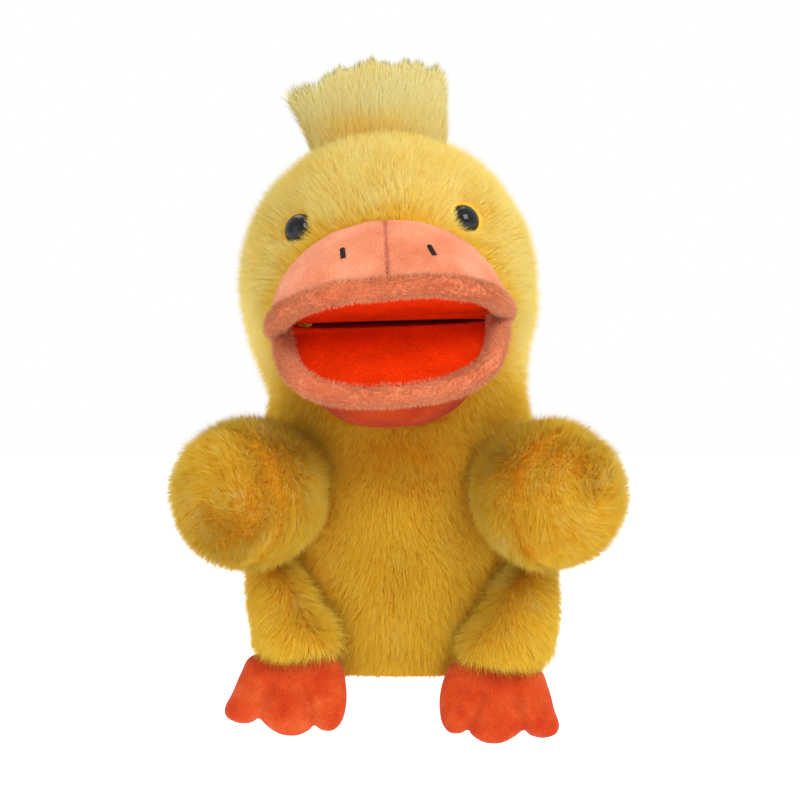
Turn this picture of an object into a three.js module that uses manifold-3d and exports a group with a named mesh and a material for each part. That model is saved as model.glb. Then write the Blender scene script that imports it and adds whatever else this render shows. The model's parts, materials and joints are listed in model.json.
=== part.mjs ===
// A plush duck hand puppet with a moving mouth, held open on an upright forearm.
// Millimetres, +Z up, front towards -Y. The origin is the centre of the hand opening,
// in the plane of the hem. "left" and "right" are a viewer's, looking at the front.
import * as THREE from "three";
import { mergeVertices } from "three/addons/utils/BufferGeometryUtils.js";
import Module from "manifold-3d";

const wasm = await Module();
wasm.setup();

// ---------------------------------------------------------------- driving dimensions

const GAP = 0.4; // clearance between pieces that are sewn or laid together
const PLUSH = 9; // long-pile plush: backing cloth and pile
const SHORT_PILE = 3; // short-pile cloth of beak, chin and feet
const CLOTH = 1.5; // lining cloth
const FELT = 1.2; // mouth lining
const BOARD = 2; // mouth stiffeners
const FAR = 400; // beyond every piece
const FACET_ANGLE = 0.45; // largest turn between two facets of an arm's profile

// Half width of the torso at a height. Its depth is a fixed share of its width.
const TORSO_OUTLINE = [[50, 0], [54, 12], [59, 30], [62, 55], [61, 78], [56, 96], [45, 110]];
const TORSO_DEPTH = 0.7;
const TORSO_ROWS = 7;
const HEM_HEIGHT = 9;

// Neck: the head turns about Z and nods about X through this point, and is held tilted.
const NECK_HEIGHT = 124;
const HEAD_TILT = THREE.MathUtils.degToRad(3.2);
const NECK_RING_RADIUS = 36;
const NECK_RING_HEIGHT = 7;

// Half width of the head at a height above its lower rim.
const HEAD_RIM = 127;
const HEAD_OUTLINE = [[57, 0], [61, 13], [64.5, 31], [65, 45], [62, 63], [54, 79], [43, 93], [27, 105]];
const HEAD_HEIGHT = 112;
const HEAD_DEPTH = 0.86;
const HEAD_ROWS = 9;
const HEAD_WIDEST = 45; // above the rim
const STUFFING_FLOOR = 150;

// The room for the hand, from the neck up to the height of the crease.
const HAND_ROOM = [34, 34, 46];
const HAND_ROOM_Y = 3;

// Mouth: two halves of one flattened ball, hinged on a crease across its middle.
const CREASE_Y = -52;
const CREASE_HEIGHT = 152;
const BILL_RADIUS = 42;
const BILL_HALF_WIDTH = 49.5;
const BILL_TUCK = 16; // how far the beak skin runs back under the face
const PALATE_RISE = THREE.MathUtils.degToRad(12);
const JAW_DROP = THREE.MathUtils.degToRad(37);
const CHIN_ARC = THREE.MathUtils.degToRad(60);
const LIP_RADIUS = 4.2;
const LIP_LIFT = 5; // lip centre line to the plane where the halves meet
const LIP_HALF_WIDTH = 48;
const LIP_DEPTH = 42;
const LIP_START = 3; // the lips end this far in front of the crease
const LIP_SQUARENESS = 2.6; // exponent of the mouth's outline
const BOARD_INSET = 5.4;
const FINGER_POCKET = [44, 33, 27];
const THUMB_POCKET = [30, 34, 24];
const POCKET_BACK = 2; // how far the pockets run back past the crease

// Face
const EYE_SPACING = 35;
const EYE_HEIGHT = 193;
const EYE_RADIUS = 6;
const EYE_DEPTH = 5; // from the tips of the pile to the eye's base
const EYE_RIM = 1; // straight side under the dome
const EYE_WELL = 2; // room around the eye in the pile
const POST_RADIUS = 2.2;
const POST_LENGTH = 9;
const WASHER_RADIUS = 8;
const WASHER_SEAT = 5; // the washer's lower face, under the eye's base
const WASHER_THICKNESS = 1.6;
const NOSTRIL_SPACING = 18.4;
const NOSTRIL_HEIGHT = 28; // above the crease
const NOSTRIL_SIZE = [1.4, 5, 0.9];

// Crest: the outline of the tuft, seen from the front.
const CREST_OUTLINE = [[33, 222], [31, 260], [20, 266], [-5, 269], [-28, 263], [-38, 256], [-24, 222]];
const CREST_THICKNESS = 14;
const CREST_Y = 2;

// Arms: each the hull of a small ball at the shoulder seam and a large ball at the end.
const SHOULDER = [48.5, -28.5, 84];
const ARM_END = [62.5, -55, 80];
const SHOULDER_RADIUS = 9;
const ARM_RADIUS = 33;
const ARM_SKIN = 8;
const ARM_ROOM_START = 0.3; // share of the arm's length where its stuffing begins
const ARM_LIFT = THREE.MathUtils.degToRad(40);

// Legs: each a flattened ball, sewn on at its upper back edge, with a foot hanging below.
const HIP = [46, -30, 42];
const LEG_CENTRE = [46, -42, 28];
const LEG_RADII = [23, 16, 19];
const LEG_SKIN = 6;
const LEG_SWING = [THREE.MathUtils.degToRad(-8), THREE.MathUtils.degToRad(15)];
const LEG_DROP = { left: 0, right: 3.5 };
const ANKLE = [46, -42, 0.5];
const FOOT_LENGTH = 19; // ankle to the tips of the side toes
const FOOT_THICKNESS = 16;
const FOOT_TILT = THREE.MathUtils.degToRad(18);
const FOOT_TOP = [15, 5]; // half width and height of the seam that holds it
const FOOT_ROUNDING = 0.6; // share of the thickness that the rounded edges take
const FOOT_EDGE_SPREAD = 0.7; // the edges' width over their depth
const TOE_RADIUS = 9;
const TOE_SPACING = 16.5;
const MIDDLE_TOE_LEAD = 3;
const TOE_ARCS = [[0.9, 1.72], [1.2, 1.8], [1.28, 2.1]]; // in half turns, from the left toe on

// ---------------------------------------------------------------- materials

function cloth(color, roughness = 0.95) {
  return new THREE.MeshStandardMaterial({ color, roughness, metalness: 0 });
}
const plush = cloth(0xe8bc4c);
const crestPlush = cloth(0xdcd289);
const beakCloth = cloth(0xf5916a);
const lipCloth = cloth(0xe1966e);
const chinCloth = cloth(0xeb7350);
const footCloth = cloth(0xe65523);
const mouthFelt = cloth(0xeb3c10);
const liningCloth = cloth(0xe9c46a, 0.8);
const stuffing = cloth(0xf4f2ec);
const board = cloth(0x8a8a84, 0.7);
const eyePlastic = cloth(0x0b0b0d, 0.12);
const washerPlastic = cloth(0xdadada, 0.5);
const thread = cloth(0x18130f, 0.7);

// ---------------------------------------------------------------- solids

// A closed three.js geometry as a solid that can be joined and cut.
function solid(geometry) {
  const bare = geometry.clone();
  bare.deleteAttribute("normal");
  bare.deleteAttribute("uv");
  const merged = mergeVertices(bare, 1e-4);
  const vertProperties = merged.attributes.position.array;
  const triVerts = new Uint32Array(merged.index.array);
  return new wasm.Manifold(new wasm.Mesh({ numProp: 3, vertProperties, triVerts }));
}

// A solid's surface as a three.js geometry.
function surface(shape) {
  const { vertProperties, triVerts } = shape.getMesh();
  const geometry = new THREE.BufferGeometry();
  geometry.setAttribute("position", new THREE.BufferAttribute(vertProperties, 3));
  geometry.setIndex(new THREE.BufferAttribute(triVerts, 1));
  return geometry;
}

const SIDES = {
  left: [-1, 0, 0],
  right: [1, 0, 0],
  front: [0, -1, 0],
  back: [0, 1, 0],
  upper: [0, 0, 1],
  lower: [0, 0, -1],
};

// What of a shape lies on one side of a seam, half a gap clear of the seam's coordinate.
function half(shape, side, seam = 0) {
  const sign = SIDES[side].reduce((sum, value) => sum + value);
  return shape.trimByPlane(SIDES[side], sign * seam + GAP / 2);
}

// What of a shape lies between two heights.
function between(shape, low, high) {
  return shape.trimByPlane(SIDES.upper, low).trimByPlane(SIDES.lower, -high);
}

// A smooth profile of [radius, height] points, turned about Z and closed on the axis.
function turned(outline, depthShare, steps, segments = 22) {
  const points = outline.map(([radius, height]) => new THREE.Vector2(radius, height));
  const smooth = new THREE.SplineCurve(points).getPoints(steps);
  const foot = new THREE.Vector2(0, smooth[0].y);
  const top = new THREE.Vector2(0, smooth[smooth.length - 1].y);
  const profile = [foot, ...smooth, ...(smooth[smooth.length - 1].x > 0 ? [top] : [])];
  return new THREE.LatheGeometry(profile, segments).rotateX(Math.PI / 2).scale(1, depthShare, 1);
}

function ellipsoid(radii, centre = [0, 0, 0], columns = 14, rows = 8) {
  const ball = new THREE.SphereGeometry(1, columns, rows).rotateX(Math.PI / 2);
  return solid(ball.scale(...radii).translate(...centre));
}

const LATHE_AXIS = new THREE.Vector3(0, 1, 0);

// The hull of two balls, from the small one at a point to the large one at another.
function pear(from, to, smallRadius, largeRadius, segments = 14) {
  const start = new THREE.Vector3(...from);
  const reach = new THREE.Vector3(...to).sub(start);
  const lean = Math.asin((largeRadius - smallRadius) / reach.length());
  const profile = [];
  for (const [centre, radius, low, high] of [
    [0, smallRadius, -Math.PI / 2, -lean],
    [reach.length(), largeRadius, -lean, Math.PI / 2],
  ]) {
    const steps = Math.ceil((high - low) / FACET_ANGLE);
    for (let step = 0; step <= steps; step++) {
      const angle = low + ((high - low) * step) / steps;
      profile.push(new THREE.Vector2(radius * Math.cos(angle), centre + radius * Math.sin(angle)));
    }
  }
  profile[0].x = 0;
  profile[profile.length - 1].x = 0;
  const turn = new THREE.Quaternion().setFromUnitVectors(LATHE_AXIS, reach.normalize());
  return solid(new THREE.LatheGeometry(profile, segments).applyQuaternion(turn).translate(...from));
}

// A solid turned by an angle about an axis through a point.
function swung(shape, point, axis, angle) {
  const turn = new THREE.Matrix4().makeRotationAxis(new THREE.Vector3(...axis).normalize(), angle);
  const centred = surface(shape).translate(...point.map((value) => -value));
  return solid(centred.applyMatrix4(turn).translate(...point));
}

// Everything that a shape passes through on its way through some angles.
function sweep(shape, point, axis, angles) {
  return angles.map((angle) => swung(shape, point, axis, angle)).reduce((sum, next) => sum.add(next));
}

// The largest body of a solid, without the slivers that a cut can leave beside it.
function largest(shape) {
  return shape.decompose().reduce((most, body) => (body.volume() > most.volume() ? body : most));
}

function mirrored(point) {
  return [-point[0], point[1], point[2]];
}

// ---------------------------------------------------------------- scene graph

const puppet = new THREE.Group();

function add(group, name, shape, material) {
  const geometry = shape.isBufferGeometry ? shape : surface(largest(shape));
  geometry.computeVertexNormals();
  const mesh = new THREE.Mesh(geometry, material);
  mesh.name = name;
  group.add(mesh);
}

// A group turned about a point of its parent. Its children keep the parent's coordinates.
function turnedGroup(parent, point, rotation) {
  const pivot = new THREE.Group();
  pivot.position.set(...point);
  pivot.rotation.set(...rotation);
  const inner = new THREE.Group();
  inner.position.set(...point.map((value) => -value));
  pivot.add(inner);
  parent.add(pivot);
  return inner;
}

const neckPoint = [0, 0, NECK_HEIGHT];
const head = turnedGroup(puppet, neckPoint, [0, -HEAD_TILT, 0]);

// Both halves of the mouth are drawn in the plane where they meet, with the crease as origin.
function mouthGroup(angle) {
  const group = new THREE.Group();
  group.position.set(0, CREASE_Y, CREASE_HEIGHT);
  group.rotation.set(angle, 0, 0);
  head.add(group);
  return group;
}
const upperMouth = mouthGroup(-PALATE_RISE);
const jaw = mouthGroup(JAW_DROP);

// ---------------------------------------------------------------- arms

const SHOULDER_AXIS = { left: [-1, 0, -1], right: [-1, 0, 1] };

function arm(side) {
  const place = side === "left" ? mirrored : (point) => point;
  const shoulder = place(SHOULDER);
  const end = place(ARM_END);
  const outer = pear(shoulder, end, SHOULDER_RADIUS, ARM_RADIUS);
  const root = new THREE.Vector3(...shoulder).lerp(new THREE.Vector3(...end), ARM_ROOM_START).toArray();
  const lining = pear(root, end, SHOULDER_RADIUS / 2, ARM_RADIUS - ARM_SKIN);
  const fill = pear(root, end, SHOULDER_RADIUS / 2 - GAP, ARM_RADIUS - ARM_SKIN - GAP);
  const skin = outer.subtract(lining);
  add(puppet, `${side}_arm_upper_panel`, half(skin, "upper", end[2]), plush);
  add(puppet, `${side}_arm_lower_panel`, half(skin, "lower", end[2]), plush);
  add(puppet, `${side}_arm_stuffing`, fill, stuffing);
}

// Everything that an arm passes through between its two limits.
function armSweep(side) {
  const place = side === "left" ? mirrored : (point) => point;
  const shoulder = place(SHOULDER);
  const shape = pear(shoulder, place(ARM_END), SHOULDER_RADIUS + 2 * GAP, ARM_RADIUS + 2 * GAP, 12);
  return sweep(shape, shoulder, SHOULDER_AXIS[side], [0, ARM_LIFT / 2, ARM_LIFT]);
}

arm("left");
arm("right");

// ---------------------------------------------------------------- legs and feet

function legPoint(side, point) {
  const [x, y, z] = side === "left" ? mirrored(point) : point;
  return [x, y, z - LEG_DROP[side]];
}

function legBall(side, inset) {
  return ellipsoid(LEG_RADII.map((radius) => radius - inset), legPoint(side, LEG_CENTRE));
}

function leg(side) {
  const centre = legPoint(side, LEG_CENTRE);
  const skin = legBall(side, 0).subtract(legBall(side, LEG_SKIN));
  add(puppet, `${side}_leg_front_panel`, half(skin, "front", centre[1]), plush);
  add(puppet, `${side}_leg_back_panel`, half(skin, "back", centre[1]), plush);
  add(puppet, `${side}_leg_stuffing`, legBall(side, LEG_SKIN + GAP), stuffing);
}

function legSweep(side) {
  return sweep(legBall(side, -2 * GAP), legPoint(side, HIP), SIDES.left, [LEG_SWING[0], 0, LEG_SWING[1]]);
}

// A webbed foot with three round toes, drawn from the ankle downwards.
function footSolid(inset) {
  const [topHalf, top] = FOOT_TOP.map((value) => value - inset);
  const toeLine = -FOOT_LENGTH + TOE_RADIUS;
  const outline = new THREE.Shape();
  outline.moveTo(topHalf, top);
  outline.lineTo(-topHalf, top);
  TOE_ARCS.forEach(([from, to], toe) => {
    const x = (toe - 1) * TOE_SPACING;
    const y = toe === 1 ? toeLine - MIDDLE_TOE_LEAD : toeLine;
    outline.absarc(x, y, TOE_RADIUS - inset, Math.PI * from, Math.PI * to, false);
  });
  outline.closePath();
  const round = (FOOT_THICKNESS / 2 - inset) * FOOT_ROUNDING;
  const flat = FOOT_THICKNESS - 2 * inset - 2 * round;
  const spread = round * FOOT_EDGE_SPREAD;
  const body = new THREE.ExtrudeGeometry(outline, {
    depth: flat,
    bevelThickness: round,
    bevelSize: spread,
    bevelOffset: -spread,
    bevelSegments: 1,
    curveSegments: 4,
  });
  return solid(body.rotateX(Math.PI / 2).translate(0, flat / 2, 0));
}

function foot(side) {
  const group = new THREE.Group();
  group.position.set(...legPoint(side, ANKLE));
  group.rotation.set(-FOOT_TILT, 0, 0);
  puppet.add(group);
  const skin = footSolid(0).subtract(footSolid(SHORT_PILE));
  add(group, `${side}_foot_front_panel`, half(skin, "front"), footCloth);
  add(group, `${side}_foot_back_panel`, half(skin, "back"), footCloth);
  add(group, `${side}_foot_stuffing`, footSolid(SHORT_PILE + GAP), stuffing);
}

for (const side of ["left", "right"]) {
  leg(side);
  foot(side);
}

// ---------------------------------------------------------------- torso and neck

// The torso's outline, moved in by an inset on every side. It runs on a little past both ends.
function torsoSolid(inset) {
  const widest = Math.max(...TORSO_OUTLINE.map(([radius]) => radius));
  const depthShare = (widest * TORSO_DEPTH - inset) / (widest - inset);
  const outline = TORSO_OUTLINE.map(([radius, height]) => [radius - inset, height]);
  const past = 5;
  outline[0][1] -= past;
  outline[outline.length - 1][1] += past;
  return solid(turned(outline, depthShare, TORSO_ROWS));
}

const TORSO_TOP = TORSO_OUTLINE[TORSO_OUTLINE.length - 1][1];

function torso() {
  const limbs = [armSweep("left"), armSweep("right"), legSweep("left"), legSweep("right")];
  const dented = (shape) => limbs.reduce((rest, limb) => rest.subtract(limb), shape);
  const room = torsoSolid(PLUSH + GAP + CLOTH);
  const skin = dented(between(torsoSolid(0), HEM_HEIGHT, TORSO_TOP).subtract(torsoSolid(PLUSH)));
  add(puppet, "body_front_panel", half(skin, "front"), plush);
  add(puppet, "body_back_panel", half(skin, "back"), plush);
  const lining = between(torsoSolid(PLUSH + GAP), HEM_HEIGHT, TORSO_TOP).subtract(room);
  add(puppet, "lining_sleeve", lining, liningCloth);
  const hem = between(torsoSolid(0), 0, HEM_HEIGHT - GAP).subtract(room);
  add(puppet, "hem_band", dented(hem), plush);
}

// A plain ring of rectangular section about Z.
function ring(outer, inner, low, high) {
  const section = [[inner, low], [outer, low], [outer, high], [inner, high], [inner, low]];
  const profile = section.map(([radius, height]) => new THREE.Vector2(radius, height));
  return new THREE.LatheGeometry(profile, 20).rotateX(Math.PI / 2);
}

function neck() {
  const low = TORSO_TOP + GAP;
  const high = low + NECK_RING_HEIGHT;
  const inner = NECK_RING_RADIUS - PLUSH / 2;
  add(puppet, "neck_ring", ring(NECK_RING_RADIUS, inner, low, high), plush);
  add(puppet, "neck_lining", ring(inner - GAP, inner - GAP - CLOTH, low, high), liningCloth);
}

torso();
neck();

// ---------------------------------------------------------------- head

function headSolid(inset, drop) {
  const width = Math.max(...HEAD_OUTLINE.map(([radius]) => radius));
  const outline = [...HEAD_OUTLINE, [0, HEAD_HEIGHT]];
  const shape = turned(outline, HEAD_DEPTH, HEAD_ROWS);
  const share = (size) => (size - inset) / size;
  shape.scale(share(width), share(width * HEAD_DEPTH), share(HEAD_HEIGHT));
  return solid(shape.translate(0, 0, HEAD_RIM - drop));
}

// The flattened ball of the bill, about the crease. Turning it about the crease changes nothing.
function billSolid(inset) {
  const radius = BILL_RADIUS - inset;
  return ellipsoid([BILL_HALF_WIDTH - inset, radius, radius], [0, 0, 0], 22, 14);
}
const billSpace = solid(surface(billSolid(-3 * GAP)).translate(0, CREASE_Y, CREASE_HEIGHT));

function eyePlace(side) {
  const x = side === "left" ? -EYE_SPACING : EYE_SPACING;
  const ray = new THREE.Raycaster(new THREE.Vector3(x, -FAR, EYE_HEIGHT), new THREE.Vector3(0, 1, 0));
  const mesh = new THREE.Mesh(surface(headSolid(EYE_DEPTH, 0)));
  const hit = ray.intersectObject(mesh)[0].point;
  const middle = new THREE.Vector3(0, 0, HEAD_RIM + HEAD_WIDEST);
  return { hit, outward: hit.clone().sub(middle).normalize() };
}

// A turned piece that stands on a point and looks along a direction.
function aimed(profile, place, segments = 12) {
  const points = profile.map(([radius, height]) => new THREE.Vector2(radius, height));
  const turn = new THREE.Quaternion().setFromUnitVectors(LATHE_AXIS, place.outward);
  return new THREE.LatheGeometry(points, segments).applyQuaternion(turn).translate(...place.hit.toArray());
}

// A plain disc or tube around the eye's post, between two heights over the eye's base.
function collar(place, inner, outer, low, high) {
  return aimed([[inner, low], [outer, low], [outer, high], [inner, high], [inner, low]], place);
}

// A domed eye on a post, seen in section from the post's end to the dome's top.
function eyeProfile() {
  const points = [[0, -POST_LENGTH], [POST_RADIUS, -POST_LENGTH], [POST_RADIUS, 0], [EYE_RADIUS, 0]];
  const dome = new THREE.EllipseCurve(0, EYE_RIM, EYE_RADIUS, EYE_DEPTH, 0, Math.PI / 2);
  points.push(...dome.getPoints(4).map((point) => point.toArray()));
  points[points.length - 1][0] = 0;
  return points;
}

function headPieces() {
  let skin = headSolid(0, 0).subtract(headSolid(PLUSH, 1)).subtract(billSpace);
  const handRoom = ellipsoid(HAND_ROOM, [0, HAND_ROOM_Y, NECK_HEIGHT]);
  let fill = headSolid(PLUSH + GAP, 1).subtract(billSpace).subtract(handRoom);
  fill = fill.trimByPlane(SIDES.upper, STUFFING_FLOOR);
  const washerTop = WASHER_THICKNESS - WASHER_SEAT;
  const washerRoom = WASHER_RADIUS + GAP;
  for (const side of ["left", "right"]) {
    const place = eyePlace(side);
    add(head, `${side}_eye`, aimed(eyeProfile(), place), eyePlastic);
    const washer = collar(place, POST_RADIUS + GAP, WASHER_RADIUS, -WASHER_SEAT, washerTop);
    add(head, `${side}_eye_washer`, washer, washerPlastic);
    const bore = collar(place, 0, POST_RADIUS + GAP, -2 * PLUSH, PLUSH);
    const well = collar(place, 0, EYE_RADIUS + EYE_WELL, -GAP, 2 * PLUSH);
    const seat = collar(place, 0, washerRoom, -2 * PLUSH, washerTop + GAP);
    skin = [bore, well, seat].reduce((rest, cutter) => rest.subtract(solid(cutter)), skin);
    fill = fill.subtract(solid(collar(place, 0, washerRoom, -PLUSH - GAP, PLUSH)));
  }
  add(head, "head_front_panel", half(skin, "front"), plush);
  add(head, "head_back_left_panel", half(half(skin, "back"), "left"), plush);
  add(head, "head_back_right_panel", half(half(skin, "back"), "right"), plush);
  add(head, "head_stuffing", fill, stuffing);
}

function crest() {
  const outline = new THREE.Shape();
  outline.moveTo(...CREST_OUTLINE[0]);
  CREST_OUTLINE.slice(1).forEach((point) => outline.lineTo(...point));
  outline.closePath();
  const fan = new THREE.ExtrudeGeometry(outline, { depth: CREST_THICKNESS, bevelEnabled: false });
  fan.rotateX(Math.PI / 2).translate(0, CREST_Y + CREST_THICKNESS / 2, 0);
  add(head, "crest_tuft", solid(fan).subtract(headSolid(-GAP, 0)), crestPlush);
}

headPieces();
crest();

// ---------------------------------------------------------------- mouth

// The centre line of a lip, in the plane where the halves meet, moved in by an inset.
class MouthCurve extends THREE.Curve {
  constructor(inset, height) {
    super();
    this.width = LIP_HALF_WIDTH - inset;
    this.depth = LIP_DEPTH - inset;
    this.height = height;
    this.first = Math.asin((LIP_START / LIP_DEPTH) ** (LIP_SQUARENESS / 2));
  }

  getPoint(t, target = new THREE.Vector3()) {
    const angle = this.first + (Math.PI - 2 * this.first) * t;
    const power = 2 / LIP_SQUARENESS;
    const x = Math.sign(Math.cos(angle)) * Math.abs(Math.cos(angle)) ** power;
    const y = Math.sin(angle) ** power;
    return target.set(this.width * x, -this.depth * y, this.height);
  }
}

function lip(height, radius) {
  const section = new THREE.Shape().absarc(0, 0, radius, 0, 2 * Math.PI, false);
  return new THREE.ExtrudeGeometry(section, {
    steps: 20,
    curveSegments: 4,
    extrudePath: new MouthCurve(0, height),
    bevelEnabled: false,
  });
}

// A flat sheet that fills the mouth inside the lips, between two heights.
function sheet(low, high) {
  const edge = new MouthCurve(BOARD_INSET, 0).getSpacedPoints(20);
  const outline = new THREE.Shape(edge.map((point) => new THREE.Vector2(point.x, point.y)));
  return new THREE.ExtrudeGeometry(outline, { depth: high - low, bevelEnabled: false }).translate(0, 0, low);
}

// What of a shape lies beyond a height on one side of the mouth plane, in front of a depth.
function quarter(shape, side, from, back) {
  return shape.trimByPlane(SIDES[side], from).trimByPlane(SIDES.front, -back);
}

// A quarter dome of cloth over one side of the mouth plane, open at the back.
function pocket(radii, side, from) {
  const inner = radii.map((radius) => radius - CLOTH);
  return quarter(ellipsoid(radii).subtract(ellipsoid(inner)), side, from, POCKET_BACK);
}

function nostril(side) {
  const x = side === "left" ? -NOSTRIL_SPACING : NOSTRIL_SPACING;
  const reach = BILL_RADIUS * Math.sqrt(1 - (x / BILL_HALF_WIDTH) ** 2);
  const angle = Math.asin(NOSTRIL_HEIGHT / reach) - PALATE_RISE;
  const point = new THREE.Vector3(x, -reach * Math.cos(angle), reach * Math.sin(angle));
  const stretch = new THREE.Vector3(BILL_HALF_WIDTH, BILL_RADIUS, BILL_RADIUS);
  const normal = point.clone().divide(stretch).divide(stretch).normalize();
  const lift = NOSTRIL_SIZE[2] / 2 + GAP;
  const group = new THREE.Group();
  group.position.copy(point.addScaledVector(normal, lift));
  group.quaternion.setFromUnitVectors(new THREE.Vector3(0, 0, 1), normal);
  upperMouth.add(group);
  add(group, `${side}_nostril_stitch`, new THREE.BoxGeometry(...NOSTRIL_SIZE), thread);
}

function mouth() {
  const skin = billSolid(0).subtract(billSolid(SHORT_PILE));
  const fill = billSolid(SHORT_PILE + GAP);
  const fillEdge = FELT + BOARD + 5 * GAP; // from the mouth plane to the stuffing
  const pocketSpace = (radii) => ellipsoid(radii.map((radius) => radius + GAP));

  const upperLipRoom = solid(lip(LIP_LIFT, LIP_RADIUS + GAP));
  const beak = quarter(skin, "upper", LIP_LIFT, BILL_TUCK).subtract(upperLipRoom);
  add(upperMouth, "beak_left_panel", half(beak, "left"), beakCloth);
  add(upperMouth, "beak_right_panel", half(beak, "right"), beakCloth);
  const crown = fill.subtract(pocketSpace(FINGER_POCKET)).subtract(upperLipRoom);
  add(upperMouth, "beak_stuffing", quarter(crown, "upper", fillEdge, POCKET_BACK), stuffing);
  add(upperMouth, "finger_pocket", pocket(FINGER_POCKET, "upper", fillEdge), liningCloth);
  add(upperMouth, "upper_lip", lip(LIP_LIFT, LIP_RADIUS), lipCloth);
  add(upperMouth, "palate_felt", sheet(2 * GAP, 2 * GAP + FELT), mouthFelt);
  add(upperMouth, "palate_board", sheet(3 * GAP + FELT, 3 * GAP + FELT + BOARD), board);
  nostril("left");
  nostril("right");

  const lowerLipRoom = solid(lip(-LIP_LIFT, LIP_RADIUS + GAP));
  const chinBack = [0, -Math.sin(CHIN_ARC), Math.cos(CHIN_ARC)];
  const chin = quarter(skin, "lower", LIP_LIFT, 0).subtract(lowerLipRoom);
  add(jaw, "chin_panel", chin.trimByPlane(chinBack, 0), chinCloth);
  const chinFill = fill.subtract(pocketSpace(THUMB_POCKET)).subtract(lowerLipRoom);
  add(jaw, "chin_stuffing", quarter(chinFill, "lower", fillEdge, 0).trimByPlane(chinBack, 0), stuffing);
  add(jaw, "thumb_pocket", pocket(THUMB_POCKET, "lower", fillEdge), liningCloth);
  add(jaw, "lower_lip", lip(-LIP_LIFT, LIP_RADIUS), lipCloth);
  add(jaw, "mouth_floor_felt", sheet(-2 * GAP - FELT, -2 * GAP), mouthFelt);
  add(jaw, "jaw_board", sheet(-3 * GAP - FELT - BOARD, -3 * GAP - FELT), board);
}

mouth();

export default puppet;
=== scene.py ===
"""Looks of a plush duck hand puppet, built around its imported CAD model.

Metres, +Z up, front towards -Y. "left" and "right" are a viewer's, looking at the front.
Plush is a skin of backing cloth with a pile of real strands on it, velour and felt are closed
padded shapes, and each piece rides on the CAD body that it is sewn to.
"""
import json
import math

import bmesh
import bpy
import numpy as np
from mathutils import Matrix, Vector

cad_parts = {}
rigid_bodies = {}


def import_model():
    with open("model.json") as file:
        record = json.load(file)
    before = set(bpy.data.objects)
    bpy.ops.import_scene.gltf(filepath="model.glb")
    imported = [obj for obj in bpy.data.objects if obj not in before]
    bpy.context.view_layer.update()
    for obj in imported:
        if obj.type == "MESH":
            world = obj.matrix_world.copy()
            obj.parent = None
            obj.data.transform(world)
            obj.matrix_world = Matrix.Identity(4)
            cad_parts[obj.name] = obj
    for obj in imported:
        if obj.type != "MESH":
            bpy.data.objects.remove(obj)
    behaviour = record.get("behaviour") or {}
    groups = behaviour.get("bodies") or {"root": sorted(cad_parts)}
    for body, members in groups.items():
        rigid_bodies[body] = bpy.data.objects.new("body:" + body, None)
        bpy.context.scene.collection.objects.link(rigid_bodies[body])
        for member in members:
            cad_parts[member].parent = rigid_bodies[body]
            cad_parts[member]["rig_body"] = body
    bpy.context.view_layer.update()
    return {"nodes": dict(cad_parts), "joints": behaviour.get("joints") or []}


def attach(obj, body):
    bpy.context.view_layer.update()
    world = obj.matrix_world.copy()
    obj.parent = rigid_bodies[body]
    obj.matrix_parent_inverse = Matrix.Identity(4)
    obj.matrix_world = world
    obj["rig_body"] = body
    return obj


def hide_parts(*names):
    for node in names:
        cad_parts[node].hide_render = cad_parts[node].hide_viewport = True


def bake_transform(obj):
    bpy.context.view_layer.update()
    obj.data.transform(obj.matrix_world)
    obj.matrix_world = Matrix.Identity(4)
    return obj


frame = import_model()
HINGES = {joint["name"]: joint for joint in frame["joints"]}
SIDES = {"left": -1, "right": 1}
MM = 0.001

# ---------------------------------------------------------------- sizes, in millimetres

PILE = 5.7  # height that the pile stands above the backing cloth
# Height, half width and half depth of the pile's tips, from the hem to the crown.
OUTLINE = [
    [0, 50, 35], [12, 55, 38.5], [30, 62, 43], [55, 65, 46], [78, 63.5, 45.5], [96, 61, 44], [112, 59, 43.5],
    [125, 57, 44], [138, 59.5, 49], [152, 63.5, 54], [172, 65.5, 56], [190, 62.5, 53.5], [206, 55, 47],
    [220, 44, 37.5], [231, 29, 25], [237, 13, 11], [238.5, 0.01, 0.01],
]
OUTLINE_SQUARE = 2.15  # how square a level cut is, from 2 for an ellipse
NECK_SPLIT = 112  # body plush ends and head plush starts here
ROLL_FROM, ROLL_TO = 108, 146  # the head's held tilt comes in between these heights
HEAD_LEAN = -2  # the wrist holds the head a little to the left
CHEEK = {"x": 44, "z": 148, "radius": 15, "push": 12}

BILL = {"width": 50, "radius": 42.5, "cloth": 2.4, "chin": 45}
CHIN = {"radius": 41.5, "drop": 3}  # its middle lies a little under the felt
LIP_RADIUS = 5.6
LIP_TUCK = 3.5  # how far the ends of the lips go back behind the crease
FOLD = 7  # how far the felt goes back behind the crease
SLIT = {"upper": 1.5, "lower": -3.3}  # the fold's opening, up from the crease
SLIT_SKEW = -1.5  # how much higher its right end is
# Half width and forward reach of each lip's middle line, how far it stands off the mouth's plane at its
# middle and its corners, and how much higher its right end is.
LIPS = {
    "upper": {
        "width": 47.5, "depth": 42, "middle": 3.8, "corner": 0.2, "square": 2.7, "angle": 12, "skew": 1.0,
    },
    "lower": {
        "width": 45, "depth": 44.5, "middle": 5.1, "corner": 0.6, "square": 3.1, "angle": -37, "skew": 0.8,
    },
}
# How far inside the beak's edges the hole in the head's cloth ends, sideways and forwards.
MOUTH_HOLE = {"side": 6.5, "front": 8}
# The felt's thickness, how far it lies outside the mouth's plane, how far it goes under the lips' sides
# and how far behind their middle line it ends at the front.
FELT = {"cloth": 1.1, "off_plane": 1.9, "overlap": 1.5, "short_of_front": 1}
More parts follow.
